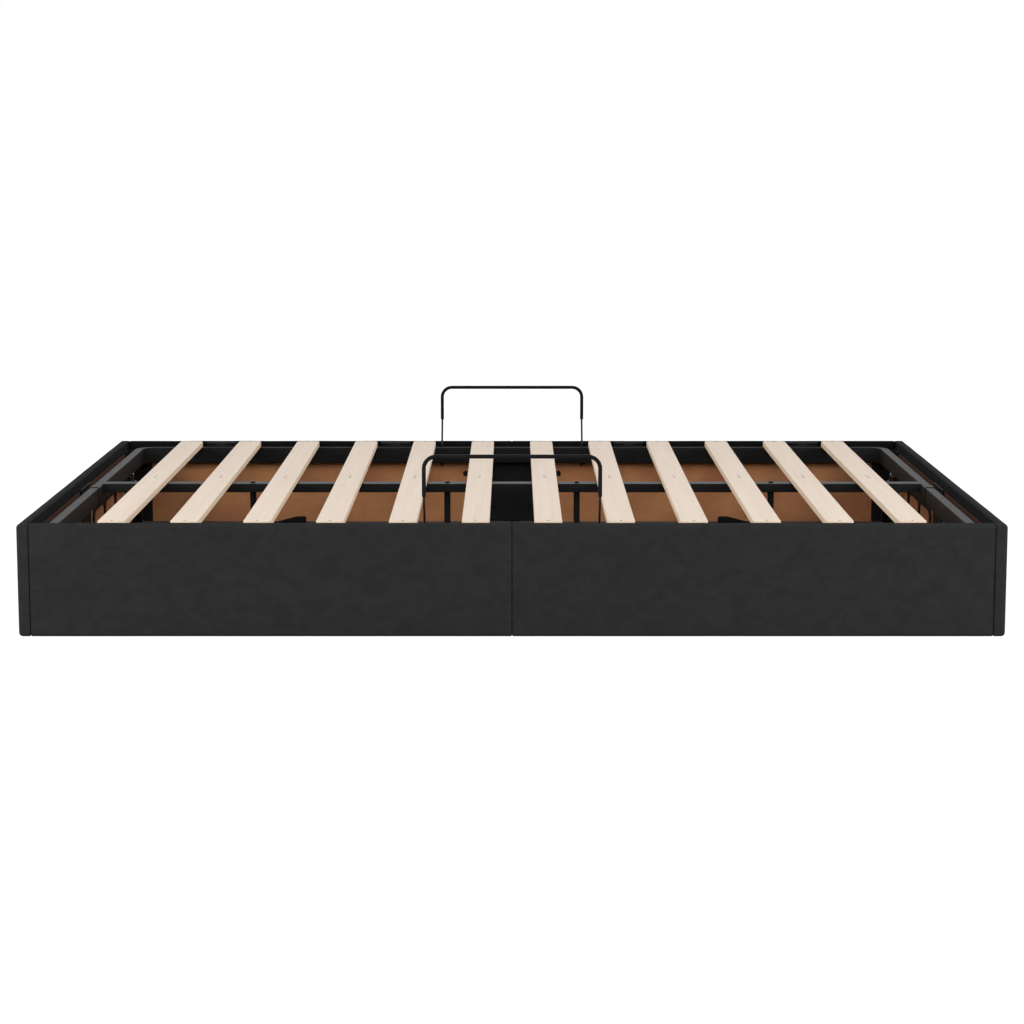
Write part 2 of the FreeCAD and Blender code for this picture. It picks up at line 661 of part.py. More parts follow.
def make_hinges():
    """Leaves on the panel, with their pins riveted in, and leaves on the frame that turn on them."""
    fixed, moving = [], []
    outer = range(0, HINGE_KNUCKLES, 2)
    between = range(1, HINGE_KNUCKLES, 2)
    for x in HINGE_X:
        start = Vector(x - HINGE_WIDTH / 2 + HINGE_KNUCKLE_GAP, HINGE_Y, HINGE_Z)
        length = HINGE_WIDTH - HINGE_KNUCKLE_GAP * 2
        pin = rod_along(start, X_AXIS, HINGE_PIN_RADIUS, length)
        bore = rod_along(start, X_AXIS, HINGE_PIN_RADIUS + RUNNING_CLEARANCE, length)
        fixed.append(fused(hinge_leaf(x, outer, INNER_Y, INNER_Y - HINGE_LEAF_THICK) + [pin]))
        leaf = fused(hinge_leaf(x, between, BAR_OUTER_Y, BAR_OUTER_Y + HINGE_LEAF_THICK))
        moving.append(leaf.cut(bore))
    save("hinge_fixed_leaves", fixed)
    save("hinge_moving_leaves", moving)


def strut_line(x_side):
    """Low end, high end and direction of one strut at rest."""
    x = x_side * RAIL_MID_X
    low = Vector(x, STRUT_LOW_Y, STRUT_LOW_Z)
    high = Vector(x, STRUT_HIGH_Y, STRUT_HIGH_Z)
    return low, high, (high - low).normalize()


def strut_eye(centre):
    start = centre - X_AXIS * (EYE_WIDTH / 2)
    return rod_along(start, X_AXIS, EYE_RADIUS, EYE_WIDTH)


def strut_eye_bore(centre):
    start = centre - X_AXIS * (EYE_WIDTH / 2 + CUT_OVERRUN)
    return rod_along(start, X_AXIS, EYE_PIN_RADIUS + RUNNING_CLEARANCE, EYE_WIDTH + CUT_OVERRUN * 2)


def strut_barrel(x_side):
    """A closed cylinder with an eye at its foot and a guide for the rod at its mouth."""
    low, high, along = strut_line(x_side)
    length = (high - low).Length - STRUT_BARREL_END
    neck = rod_along(low, along, STRUT_NECK_RADIUS, STRUT_NECK)
    tube = rod_along(low + along * STRUT_NECK, along, STRUT_BARREL_RADIUS, length - STRUT_NECK)
    bore_start = STRUT_NECK + STRUT_BASE
    bore_end = length - STRUT_CAP
    bore = rod_along(low + along * bore_start, along, STRUT_BORE_RADIUS, bore_end - bore_start)
    guide_start = low + along * (bore_end - CUT_OVERRUN)
    guide_radius = STRUT_ROD_RADIUS + RUNNING_CLEARANCE
    guide = rod_along(guide_start, along, guide_radius, STRUT_CAP + CUT_OVERRUN * 2)
    hollow = tube.cut(fused([bore, guide]))
    foot = fused([strut_eye(low), neck]).cut(strut_eye_bore(low))
    return fused([foot, hollow])


def strut_rod(x_side):
    """The polished rod with its eye at the top and the piston at its foot."""
    low, high, along = strut_line(x_side)
    length = (high - low).Length - STRUT_ROD_SHORT
    rod = rod_along(high, -along, STRUT_ROD_RADIUS, length)
    piston_start = high - along * (length - STRUT_PISTON)
    piston = rod_along(piston_start, -along, STRUT_PISTON_RADIUS, STRUT_PISTON)
    return fused([strut_eye(high), rod, piston]).cut(strut_eye_bore(high))


def strut_pin(centre, x_side, root_x):
    """A shouldered pin that grows from a plate, carries an eye and ends in a head."""
    inward = X_AXIS * -x_side
    root = Vector(x_side * root_x, centre.y, centre.z)
    eye_start = centre - inward * (EYE_WIDTH / 2 + EYE_GAP)
    shoulder = rod_along(root, inward, EYE_SHOULDER_RADIUS, (eye_start - root).Length)
    pin = rod_along(eye_start, inward, EYE_PIN_RADIUS, EYE_WIDTH + EYE_GAP * 2)
    head_start = centre + inward * (EYE_WIDTH / 2 + EYE_GAP)
    head = rod_along(head_start, inward, EYE_HEAD_RADIUS, EYE_HEAD)
    return [shoulder, pin, head]


def base_plate_bolt_places(side):
    """Bolts of a strut plate in its panel's own frame: on the webs between and beside the windows."""
    pitch = (BASE_PLATE_REAR - BASE_PLATE_FRONT - BASE_PLATE_WEB) / BASE_PLATE_WINDOWS
    middle = (BASE_PLATE_BOTTOM + BASE_PLATE_TOP) / 2
    ys = [BASE_PLATE_FRONT + BASE_PLATE_WEB / 2 + pitch * step for step in range(BASE_PLATE_WINDOWS + 1)]
    turn = 1 if side == "left" else -1
    return [(turn * y, middle) for y in ys]


def base_plate_window(x_side, low_y, high_y):
    """One window of a strut plate with cut corners, through its thickness."""
    x = x_side * (INNER_X + CUT_OVERRUN)
    low_z = BASE_PLATE_BOTTOM + BASE_PLATE_WEB
    high_z = BASE_PLATE_TOP - BASE_PLATE_WEB
    cut_corner = BASE_PLATE_WINDOW_CHAMFER
    outline = []
    for y, z, y_in, z_in in (
        (low_y, low_z, 1, 1), (high_y, low_z, -1, 1), (high_y, high_z, -1, -1), (low_y, high_z, 1, -1),
    ):
        pair = [Vector(x, y, z + z_in * cut_corner), Vector(x, y + y_in * cut_corner, z)]
        outline += pair if y_in == z_in else pair[::-1]
    depth = PLATE_THICK + CUT_OVERRUN * 2
    face = Part.Face(Part.makePolygon(outline + outline[:1]))
    return face.extrude(X_AXIS * (-x_side * depth))


def strut_base_plate(x_side):
    """A windowed plate on the end panel that carries the strut's lower pin."""
    rear = BASE_PLATE_REAR
    x = x_side * INNER_X
    outline = [
        Vector(x, BASE_PLATE_FRONT, BASE_PLATE_BOTTOM),
        Vector(x, rear, BASE_PLATE_BOTTOM),
        Vector(x, rear, BASE_PLATE_TOP),
        Vector(x, BASE_PLATE_FRONT + BASE_PLATE_NOSE, BASE_PLATE_TOP),
        Vector(x, BASE_PLATE_FRONT, BASE_PLATE_TOP - BASE_PLATE_NOSE),
    ]
    inward = X_AXIS * -x_side
    blank = rounded_prism(outline, [BASE_PLATE_CORNER] * len(outline), inward * PLATE_THICK)
    pitch = (rear - BASE_PLATE_FRONT - BASE_PLATE_WEB) / BASE_PLATE_WINDOWS
    windows = []
    for step in range(BASE_PLATE_WINDOWS):
        low_y = BASE_PLATE_FRONT + BASE_PLATE_WEB + pitch * step
        high_y = low_y + pitch - BASE_PLATE_WEB
        windows.append(base_plate_window(x_side, low_y, high_y))
    xs = sorted((x, x - x_side * BASE_PLATE_FLANGE))
    flange = box(
        Vector(xs[0], BASE_PLATE_FRONT + BASE_PLATE_NOSE + BASE_PLATE_CORNER, BASE_PLATE_TOP - PLATE_THICK),
        Vector(xs[1], rear - BASE_PLATE_CORNER, BASE_PLATE_TOP),
    )
    low, high, along = strut_line(x_side)
    pin = strut_pin(low, x_side, INNER_X - PLATE_THICK)
    return cut_all(fused([blank, flange] + pin), windows)


def lift_plate(x_side):
    """A plate on the outside of the rail that carries the strut's upper pin."""
    low, high, along = strut_line(x_side)
    x = x_side * RAIL_OUTER_X
    bottom = high.z - LIFT_PLATE_EYE_MARGIN
    outline = [
        Vector(x, high.y - LIFT_PLATE_EYE_MARGIN, bottom),
        Vector(x, high.y + LIFT_PLATE_EYE_MARGIN, bottom),
        Vector(x, high.y + LIFT_PLATE_HALF, FRAME_BOTTOM + LIFT_PLATE_CORNER),
        Vector(x, high.y + LIFT_PLATE_HALF, FRAME_TOP - LIFT_PLATE_TOP_MARGIN),
        Vector(x, high.y - LIFT_PLATE_HALF, FRAME_TOP - LIFT_PLATE_TOP_MARGIN),
        Vector(x, high.y - LIFT_PLATE_HALF, FRAME_BOTTOM + LIFT_PLATE_CORNER),
    ]
    outward = X_AXIS * x_side
    blank = rounded_prism(outline, [LIFT_PLATE_CORNER] * len(outline), outward * PLATE_THICK)
    return fused([blank] + strut_pin(high, x_side, RAIL_OUTER_X))


def make_struts():
    for name, x_side in (("left", -1), ("right", 1)):
        save("strut_base_plate_" + name, strut_base_plate(x_side))
        save("lift_plate_" + name, lift_plate(x_side))
        save("strut_barrel_" + name, strut_barrel(x_side))
        save("strut_rod_" + name, strut_rod(x_side))
    low, high, along = strut_line(1)
    closed = (high - low).Length
    spread = 2 * math.asin(closed / 2 / STRUT_REACH) + math.radians(LIFT_ANGLE)
    opened = 2 * STRUT_REACH * math.sin(spread / 2)
    print("gas strut: closed %.1f, open %.1f, stroke %.1f" % (closed, opened, opened - closed))
    print("hinge axis: y %.3f, z %.3f" % (HINGE_Y, HINGE_Z))
    print("strut ends: low y %.3f z %.3f, high y %.3f z %.3f" % (low.y, low.z, high.y, high.z))


os.makedirs("parts", exist_ok=True)
make_panels()
make_base_steel()
make_floor()
make_lift_frame()
make_slats()
make_platform_fittings()
make_hinges()
make_struts()
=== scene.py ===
# %% [markdown]
# # A side-lift ottoman bed
# The real bed is a low box of velvet-covered boards. A slatted steel platform lies in it and is hinged
# along the back, and gas struts hold it open. The CAD model fixes every size and every joint, so this
# script starts from it and gives each piece the shape and the finish that a photograph shows.

# %% Load the frame
import json
import math

import bmesh
import bpy
from mathutils import Matrix, Vector, noise


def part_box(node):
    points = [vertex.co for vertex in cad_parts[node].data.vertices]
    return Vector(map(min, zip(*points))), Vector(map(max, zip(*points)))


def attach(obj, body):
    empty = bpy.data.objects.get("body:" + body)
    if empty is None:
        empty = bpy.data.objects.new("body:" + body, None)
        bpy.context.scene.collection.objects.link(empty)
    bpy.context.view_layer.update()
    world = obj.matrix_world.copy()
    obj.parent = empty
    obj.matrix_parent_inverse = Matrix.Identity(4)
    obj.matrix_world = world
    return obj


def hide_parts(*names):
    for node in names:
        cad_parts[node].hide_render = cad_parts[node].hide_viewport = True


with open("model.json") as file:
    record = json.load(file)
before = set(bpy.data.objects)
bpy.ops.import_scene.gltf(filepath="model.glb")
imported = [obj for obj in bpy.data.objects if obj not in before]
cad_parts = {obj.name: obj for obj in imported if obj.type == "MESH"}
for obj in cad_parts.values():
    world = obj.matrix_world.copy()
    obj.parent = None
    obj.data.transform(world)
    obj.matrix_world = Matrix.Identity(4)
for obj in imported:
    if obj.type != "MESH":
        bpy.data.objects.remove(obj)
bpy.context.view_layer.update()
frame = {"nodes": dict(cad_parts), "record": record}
scene = bpy.context.scene
slot_of = {subpart["node"]: subpart["material_slot"] for subpart in frame["record"]["subparts"]}
body_of = {node: body for body, nodes in frame["record"]["behaviour"]["bodies"].items() for node in nodes}

# %% [markdown]
# ## Writing shaders as sums
# A material is a small calculation: a noise decides where the cloth is brushed lighter, two crossed waves
# make a weave. Node trees could be wired by hand, but they are hard to read. Here one small class wraps a
# socket, so that `1 - mask` adds a Math node by itself, and one method of the finish adds any other node.

# %% A socket that can be added and multiplied
class Tone:
    """A shader socket with arithmetic."""

    def __init__(self, finish, socket):
        self.finish = finish
        self.socket = socket

    def _math(self, operation, first, second):
        return self.finish.add("ShaderNodeMath", {"operation": operation}, {0: first, 1: second})

    def __add__(self, other):
        return self._math("ADD", self, other)

    def __radd__(self, other):
        return self._math("ADD", other, self)

    def __rsub__(self, other):
        return self._math("SUBTRACT", other, self)

    def __mul__(self, other):
        return self._math("MULTIPLY", self, other)


# %% A finish under construction
class Finish:
    """A material, or the world, while its node tree is being made."""

    def __init__(self, name, owner=None, **constants):
        self.owner = owner or bpy.data.materials.new(name)
        self.owner.use_nodes = True
        self.tree = self.owner.node_tree
        self.shader = self.tree.nodes.get("Principled BSDF")
        for socket, value in constants.items():
            self.shader.inputs[socket.replace("_", " ")].default_value = value

    def add(self, kind, settings=None, inputs=None, out=0):
        """Add one node; settings come first, then each input's value or link."""
        node = self.tree.nodes.new(kind)
        for key, value in (settings or {}).items():
            if key == "stops":
                self._set_stops(node.color_ramp, value)
            else:
                setattr(node, key, value)
        for key, value in (inputs or {}).items():
            if isinstance(value, Tone):
                self.tree.links.new(value.socket, node.inputs[key])
            else:
                node.inputs[key].default_value = value
        return Tone(self, node.outputs[out])

    @staticmethod
    def _set_stops(ramp, stops):
        while len(ramp.elements) < len(stops):
            ramp.elements.new(1.0)
        for element, (place, level) in zip(ramp.elements, stops):
            element.position = place
            element.color = (level, level, level, 1.0)

    def place(self, stretch=(1, 1, 1)):
        """Object coordinates, stretched along the axes."""
        spot = self.add("ShaderNodeTexCoord", out="Object")
        return self.add("ShaderNodeMapping", None, {"Vector": spot, "Scale": stretch})

    def grain(self, stretch, scale, detail=3.0, rough=0.55, warp=0.0):
        """Noise between 0 and 1 on stretched coordinates."""
        sockets = {"Vector": self.place(stretch), "Scale": scale, "Detail": detail, "Roughness": rough}
        sockets["Distortion"] = warp
        return self.add("ShaderNodeTexNoise", None, sockets)

    def ramp(self, value, *stops):
        return self.add("ShaderNodeValToRGB", {"stops": stops}, {"Fac": value})

    def blend(self, factor, first, second):
        """A colour between two colours."""
        colours = [value if isinstance(value, Tone) else (*value, 1.0) for value in (first, second)]
        return self.add("ShaderNodeMix", {"data_type": "RGBA"}, {0: factor, 6: colours[0], 7: colours[1]}, 2)

    def axis(self, vector, name):
        """One coordinate of a vector."""
        return self.add("ShaderNodeSeparateXYZ", None, {0: vector}, name)

    def bump(self, height, strength, distance):
        sockets = {"Height": height, "Strength": strength, "Distance": distance}
        return self.add("ShaderNodeBump", None, sockets)

    def wear(self, **sockets):
        """Link what changes over the surface to the shader."""
        for key, value in sockets.items():
            self.tree.links.new(value.socket, self.shader.inputs[key.replace("_", " ")])
        return self.owner


# %% [markdown]
# ## Cloth and board
# Velvet is a short pile: it looks a little lighter where it was brushed one way. Painted shade makes it
# nearly black where it is turned in over the top of a panel and down its inner face. A small noise gives
# the brush marks, a very fine one the pile, and the covers say in an attribute how much painted shade each
# point gets. The pull loops are woven webbing, so two crossed waves make their weave. The storage floor is a
# thin board faced with dark felt.

# %% Velvet, webbing and felt
def black_velvet():
    finish = Finish("black_velvet", Sheen_Weight=0.015, Sheen_Roughness=0.3, Specular_IOR_Level=0.03)
    marks = finish.grain((1, 1, 1.5), 30.0, detail=4.0, rough=0.6, warp=0.5)
    patches = finish.ramp(marks, (0.36, 0.0), (0.64, 1.0))
    pile = finish.grain((1, 1, 1), 900.0, detail=2.0)
    cloth = finish.blend(patches * 0.7 + pile * 0.3, (0.0197, 0.0197, 0.0199), (0.0258, 0.0258, 0.0260))
    # painted shade: the inner face and the inner part of each top are painted nearly black; the outer face
    # and its rounding stay light
    turned_in = finish.add("ShaderNodeAttribute", {"attribute_name": "turned_in"}, None, "Fac")
    shaded = finish.ramp(turned_in, (0.30, 0.0), (0.64, 1.0))
    colour = finish.blend(shaded, cloth, (0.0065, 0.0065, 0.0067))
    rough = 0.98 - patches * 0.08
    return finish.wear(Base_Color=colour, Roughness=rough, Normal=finish.bump(pile, 0.25, 0.0008))


def black_webbing():
    finish = Finish("black_webbing", Sheen_Weight=0.04, Specular_IOR_Level=0.15)
    spot = finish.place()
    warp = finish.add("ShaderNodeTexWave", {"bands_direction": "Z"}, {"Vector": spot, "Scale": 130.0})
    weft = finish.add("ShaderNodeTexWave", {"bands_direction": "X"}, {"Vector": spot, "Scale": 160.0})
    weave = warp * weft
    colour = finish.blend(weave, (0.003, 0.003, 0.0035), (0.013, 0.013, 0.014))
    rough = 0.9 - weave * 0.2
    return finish.wear(Base_Color=colour, Roughness=rough, Normal=finish.bump(weave, 0.5, 0.0006))


def dark_felt():
    finish = Finish("dark_felt", Sheen_Weight=0.1, Specular_IOR_Level=0.2)
    fibres = finish.grain((1, 1, 1), 420.0, detail=4.0, rough=0.7, warp=2.0)
    clouds = finish.grain((1, 1, 1), 6.0)
    shade = fibres * 0.7 + clouds * 0.3
    colour = finish.blend(shade, (0.008, 0.007, 0.007), (0.026, 0.023, 0.022))
    rough = 0.92 - fibres * 0.1
    return finish.wear(Base_Color=colour, Roughness=rough, Normal=finish.bump(fibres, 0.4, 0.0008))


# %% [markdown]
# ## Timber
# A slat shows slow bands across it, fine streaks along it and a few short pores. All three are noise on
# coordinates that are stretched along the slat, and each slat gets its own tone. The boards inside the
# panels are bare, so their surface is short matted fibre with dark specks and redder clouds. The end boards
# are painted dark along the top, as painted shade.

# %% Slat timber and raw board
def pale_slat_timber():
    finish = Finish("pale_slat_timber", Specular_IOR_Level=0.3)
    bands = finish.grain((30.0, 0.9, 30.0), 1.6, detail=5.0, rough=0.6, warp=0.8)
    streaks = finish.grain((260.0, 5.0, 260.0), 1.0, detail=4.0, rough=0.7)
    boards = finish.grain((6.7, 0.2, 1.0), 1.0, detail=0.0)
    pores = finish.ramp(finish.grain((420.0, 16.0, 420.0), 1.0, detail=2.0), (0.60, 0.0), (0.74, 1.0))
    shade = finish.ramp(bands, (0.34, 0.0), (0.50, 0.45), (0.66, 1.0)) * 0.55 + streaks * 0.45
    warm = finish.blend(shade, (0.800, 0.690, 0.585), (0.690, 0.565, 0.455))
    toned = finish.blend(boards * 0.45, warm, (0.740, 0.610, 0.500))
    pored = finish.blend(pores * 0.20, toned, (0.50, 0.37, 0.28))
    # painted light: the upright sides of each slat are painted lighter and warmer than its top
    facing = finish.add("ShaderNodeTexCoord", out="Normal")
    painted_side_light = finish.ramp(finish.axis(facing, "Z"), (0.25, 1.0), (0.80, 0.0))
    colour = finish.blend(painted_side_light * 0.8, pored, (0.860, 0.655, 0.470))
    height = streaks * 0.6 + pores * -0.5
    rough = 0.62 + streaks * 0.16
    return finish.wear(Base_Color=colour, Roughness=rough, Normal=finish.bump(height, 0.25, 0.0006))


def raw_brown_board():
    finish = Finish("raw_brown_board", Specular_IOR_Level=0.2)
    fibres = finish.grain((1, 1, 1), 260.0, detail=5.0, rough=0.7, warp=1.5)
    sweep = finish.grain((3.0, 3.0, 22.0), 3.0, detail=4.0, rough=0.6, warp=0.6)
    specks = finish.ramp(finish.grain((1, 1, 1), 520.0, detail=1.0), (0.62, 0.0), (0.70, 1.0))
    brown = finish.blend(fibres * 0.5 + sweep * 0.5, (0.450, 0.195, 0.080), (0.635, 0.305, 0.135))
    clouds = finish.ramp(finish.grain((1, 1, 1), 14.0, rough=0.6, warp=0.4), (0.42, 0.0), (0.62, 1.0))
    reddened = finish.blend(clouds * 0.45, brown, (0.470, 0.160, 0.085))
    specked = finish.blend(specks * 0.30, reddened, (0.200, 0.085, 0.042))
    # painted shade: the end boards are painted nearly black near their top edge, from about 15 cm up
    halved = finish.place((0.5, 1, 1))  # a ramp ends at 1, and the bed reaches further in X
    top = finish.ramp(finish.axis(halved, "Z"), (0.150, 0.0), (0.188, 1.0))
    from_middle = finish.add("ShaderNodeMath", {"operation": "ABSOLUTE"}, {0: finish.axis(halved, "X")})
    ends = finish.ramp(from_middle, (0.494, 0.0), (0.4955, 1.0))
    colour = finish.blend(ends * top * 0.95, specked, (0.034, 0.014, 0.012))
    rough = 0.78 + fibres * 0.15
    return finish.wear(Base_Color=colour, Roughness=rough, Normal=finish.bump(fibres, 0.22, 0.0006))


# %% [markdown]
# ## Coated steel, rubber and bright metal
# The black steel is powder coated: a faint orange peel in the bump, a little dust in the colour, and a
# roughness that follows both. Rubber, plastic sleeves and blackened bolts are the same idea with other
# numbers. The rods of the gas struts are polished, and their finish varies only in how far it is rubbed.

# %% Coatings and metals
def powder_coat(name, level, rough, scale, shine=0.4):
    finish = Finish(name, Specular_IOR_Level=shine, Specular_Tint=(1.0, 0.95, 0.91, 1.0))
    peel = finish.grain((1, 1, 1), scale, detail=2.0)
    smears = finish.grain((1, 1, 1), 14.0, detail=4.0, rough=0.65, warp=0.5)
    dust = finish.ramp(smears, (0.48, 0.0), (0.75, 1.0))
    colour = finish.blend(dust * 0.3, (level, level, level * 1.05), (level * 1.7, level * 1.7, level * 1.72))
    rubbed = rough + dust * 0.05 + peel * 0.05
    return finish.wear(Base_Color=colour, Roughness=rubbed, Normal=finish.bump(peel, 0.16, 0.0004))


def bright_metal(name, dull, bright, rough):
    finish = Finish(name, Metallic=1.0)
    rub = finish.grain((1, 1, 1), 160.0, detail=4.0, rough=0.7)
    colour = finish.blend(rub, (dull, dull, dull * 1.02), (bright, bright, bright * 1.02))
    return finish.wear(Base_Color=colour, Roughness=rough + rub * 0.12)


STEEL = powder_coat("satin_black_steel", level=0.0090, rough=0.54, scale=700.0, shine=0.13)
BLACK_BOLT = powder_coat("blackened_bolt", level=0.008, rough=0.42, scale=900.0, shine=0.12)
THREAD = powder_coat("stitching_thread", level=0.030, rough=0.85, scale=900.0)
STAPLE_WIRE = powder_coat("dark_staple_wire", level=0.006, rough=0.7, scale=900.0, shine=0.05)
SCREW = bright_metal("browned_screw", dull=0.10, bright=0.20, rough=0.42)
slot_finish = {
    "velvet": black_velvet(),
    "core_board": raw_brown_board(),
    "slat_wood": pale_slat_timber(),
    "frame_steel": STEEL,
    "bolt_steel": BLACK_BOLT,
    "floor_board": dark_felt(),
    "webbing": black_webbing(),
    "rubber": powder_coat("matte_rubber", level=0.012, rough=0.80, scale=500.0),
    "sleeve_plastic": powder_coat("satin_black_sleeve", level=0.006, rough=0.45, scale=600.0, shine=0.06),
    "strut_black": powder_coat("strut_gloss_black", level=0.008, rough=0.20, scale=350.0),
    "strut_chrome": bright_metal("polished_rod", dull=0.50, bright=0.64, rough=0.10),
}
for node, slot in slot_of.items():
    materials = frame["nodes"][node].data.materials
    materials.clear()
    materials.append(slot_finish[slot])
print("finishes:", len(slot_finish), "on", len(slot_of), "nodes")

# %% [markdown]
# ## Helpers for making pieces
# Every new piece is a mesh made by bmesh operators. `stand` turns it into an object that rides on a body of
# the frame. `turned` spins a profile as a lathe does. `BentBar` grows a bar from its cross-section, one
# straight run or one bend at a time, as a tube bender does. `islands` reads the places of the separate
# solids of a CAD node back: its loose triangles are merged and walked from neighbour to neighbour.

# %% Stand a piece on its body
SAME_SPOT = 1e-6
FACING = 0.9


def stand(work, name, body, slot, replaced=(), crease=38.0, finish=None):
    bmesh.ops.recalc_face_normals(work, faces=work.faces)
    mesh = bpy.data.meshes.new(name)
    work.to_mesh(mesh)
    work.free()
    mesh.polygons.foreach_set("use_smooth", [True] * len(mesh.polygons))
    mesh.set_sharp_from_angle(angle=math.radians(crease))
    mesh.materials.append(finish or slot_finish[slot])
    piece = bpy.data.objects.new(name, mesh)
    scene.collection.objects.link(piece)
    piece.modifiers.new("flat_faces_stay_flat", "WEIGHTED_NORMAL").keep_sharp = True
    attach(piece, body)
    if replaced:
        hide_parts(*replaced)
    return piece


# %% Blocks, soft edges and turned pieces
def only(kind, elements):
    return [element for element in elements if isinstance(element, kind)]


def soften(work, edges, size, segments):
    """Round edges off."""
    bmesh.ops.bevel(work, geom=list(edges), offset=size, segments=segments, profile=0.5, affect="EDGES",
                    material=-1, clamp_overlap=True)


def block(work, low, high):
    """A box between two corners; returns its vertices."""
    low, high = Vector(low), Vector(high)
    size = high - low
    place = Matrix.Translation((low + high) / 2) @ Matrix.Diagonal((size.x, size.y, size.z, 1))
    return bmesh.ops.create_cube(work, size=1, matrix=place)["verts"]


def edges_of(vertices):
    """Edges between the vertices, in a fixed order."""
    return list(dict.fromkeys(edge for vertex in vertices for edge in vertex.link_edges))


def turned(work, start, heading, profile, segments=28, ring=False):
    """Spin a profile of (distance, radius) pairs about an axis; a ring's profile closes on itself."""
    start, heading = Vector(start), Vector(heading).normalized()
    side = heading.orthogonal().normalized()
    rim = [work.verts.new(start + heading * along + side * radius) for along, radius in profile]
    chain = [work.edges.new(pair) for pair in zip(rim, rim[1:] + (rim[:1] if ring else []))]
    before = len(work.verts) - len(rim)
    bmesh.ops.spin(work, geom=rim + chain, cent=start, axis=heading, angle=2 * math.pi, steps=segments,
                   use_merge=True, use_duplicate=False)
    work.verts.ensure_lookup_table()
    bmesh.ops.remove_doubles(work, verts=work.verts[before:], dist=SAME_SPOT)


# %% Find the separate solids of a node
def islands(node):
    """Low and high corners of each separate solid of a CAD node."""
    work = bmesh.new()
    work.from_mesh(frame["nodes"][node].data)
    bmesh.ops.remove_doubles(work, verts=work.verts, dist=SAME_SPOT)
    waiting = set(work.verts)
    boxes = []
    for first in work.verts:
        if first not in waiting:
            continue
        waiting.discard(first)
        stack, corners = [first], []
        while stack:
            vertex = stack.pop()
            corners.append(vertex.co.copy())
            for edge in vertex.link_edges:
                other = edge.other_vert(vertex)
                if other in waiting:
                    waiting.discard(other)
                    stack.append(other)
        low = Vector([min(corner[axis] for corner in corners) for axis in range(3)])
        high = Vector([max(corner[axis] for corner in corners) for axis in range(3)])
        boxes.append((low, high))
    work.free()
    return boxes


# %% Grow a bar along runs and bends
class BentBar:
    """A bar that grows from its cross-section."""

    def __init__(self, work, start, heading, across):
        self.work = work
        self.at = Vector(start)
        self.heading = Vector(heading).normalized()
        side = Vector(across).normalized()
        turn = Matrix((side, self.heading.cross(side), self.heading)).transposed().to_4x4()
        self.place = Matrix.Translation(self.at) @ turn
        self.ring = []

    def round_section(self, radius, segments=20):
        made = bmesh.ops.create_circle(self.work, cap_ends=True, segments=segments, radius=radius,
                                       matrix=self.place)
        return self._open(made["verts"])

    def flat_section(self, width, depth, corner, segments=4):
        shape = self.place @ Matrix.Diagonal((width, depth, 1, 1))
        made = bmesh.ops.create_grid(self.work, x_segments=1, y_segments=1, size=0.5, matrix=shape)
        rounded = bmesh.ops.bevel(self.work, geom=made["verts"], offset=corner, segments=segments,
                                  profile=0.5, affect="VERTICES", material=-1)
        return self._open(rounded["verts"])

    def _open(self, vertices):
        self.ring = [edge for edge in edges_of(vertices) if edge.is_boundary]
        return self

    def run(self, length):
        """Push the end straight ahead."""
        grown = bmesh.ops.extrude_edge_only(self.work, edges=self.ring)["geom"]
        tips = only(bmesh.types.BMVert, grown)
        bmesh.ops.translate(self.work, verts=tips, vec=self.heading * length)
        fresh = set(tips)
        self.ring = [edge for edge in only(bmesh.types.BMEdge, grown) if set(edge.verts) <= fresh]
        self.at = self.at + self.heading * length
        return self

    def bend(self, axis, degrees, radius, steps=8):
        """Turn the end about an axis, on a bend of that radius."""
        axis = Vector(axis).normalized()
        centre = self.at + axis.cross(self.heading) * math.copysign(radius, degrees)
        angle = math.radians(degrees)
        tips = list(dict.fromkeys(vertex for edge in self.ring for vertex in edge.verts))
        spun = bmesh.ops.spin(self.work, geom=tips + self.ring, cent=centre, axis=axis, angle=angle,
                              steps=steps, use_duplicate=False)
        self.ring = only(bmesh.types.BMEdge, spun["geom_last"])
        turn = Matrix.Rotation(angle, 3, axis)
        self.at = centre + turn @ (self.at - centre)
        self.heading = turn @ self.heading
        return self

    def cap(self):
        bmesh.ops.holes_fill(self.work, edges=self.ring, sides=0)
        return self


# %% [markdown]
# ## The velvet panels
# Each side of the bed is two boards wrapped in foam and velvet, drawn over the top and stapled inside. A
# plain box with round edges would look like plastic. So each cover starts as a box whose outer edges get a
# fat round and whose seam end gets a tight one, its inner face is set back where the bare board shows, and
# then the cloth is crowned over the foam and given the shallow hollows that a hand leaves in it. The end
# panels run past the long ones, so their free ends are rounded all the way round. Where two panels meet,
# the cloth touches only deep in the seam, so a narrow dark slit stays open round it.

# %% Sizes of the box, read from the frame
front_low, front_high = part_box("cover_front_left")
PANEL_HEIGHT = front_high.z
PANEL_THICK = front_high.y - front_low.y
HALF_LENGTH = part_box("cover_right_front")[1].x
HALF_WIDTH = -front_low.y
INNER_X = HALF_LENGTH - PANEL_THICK
INNER_Y = HALF_WIDTH - PANEL_THICK
FAT_ROUND = 0.008
TIGHT_ROUND = 0.0018
LIP = 0.0225
LIP_PROUD = 0.0005
LIP_WALL = 0.0003
SET_BACK = 0.002
SEAM_SLIT = 0.0006
CORNER_SLIT = 0.0018
SLIT_DEEP = 0.0020


def side_matrix(side):
    """From a panel along X with its inner face on Y = 0 to its side of the bed."""
    turns = {"back": 0, "left": 1, "front": 2, "right": 3}
    turn = Matrix.Rotation(turns[side] * math.pi / 2, 4, "Z")
    reach = INNER_Y if side in ("back", "front") else INNER_X
    return Matrix.Translation(turn @ Vector((0, reach, 0))) @ turn


# %% Shape and fold of one cover
def on_plane(edges, axis, value):
    return [edge for edge in edges if all(abs(vertex.co[axis] - value) < SAME_SPOT for vertex in edge.verts)]


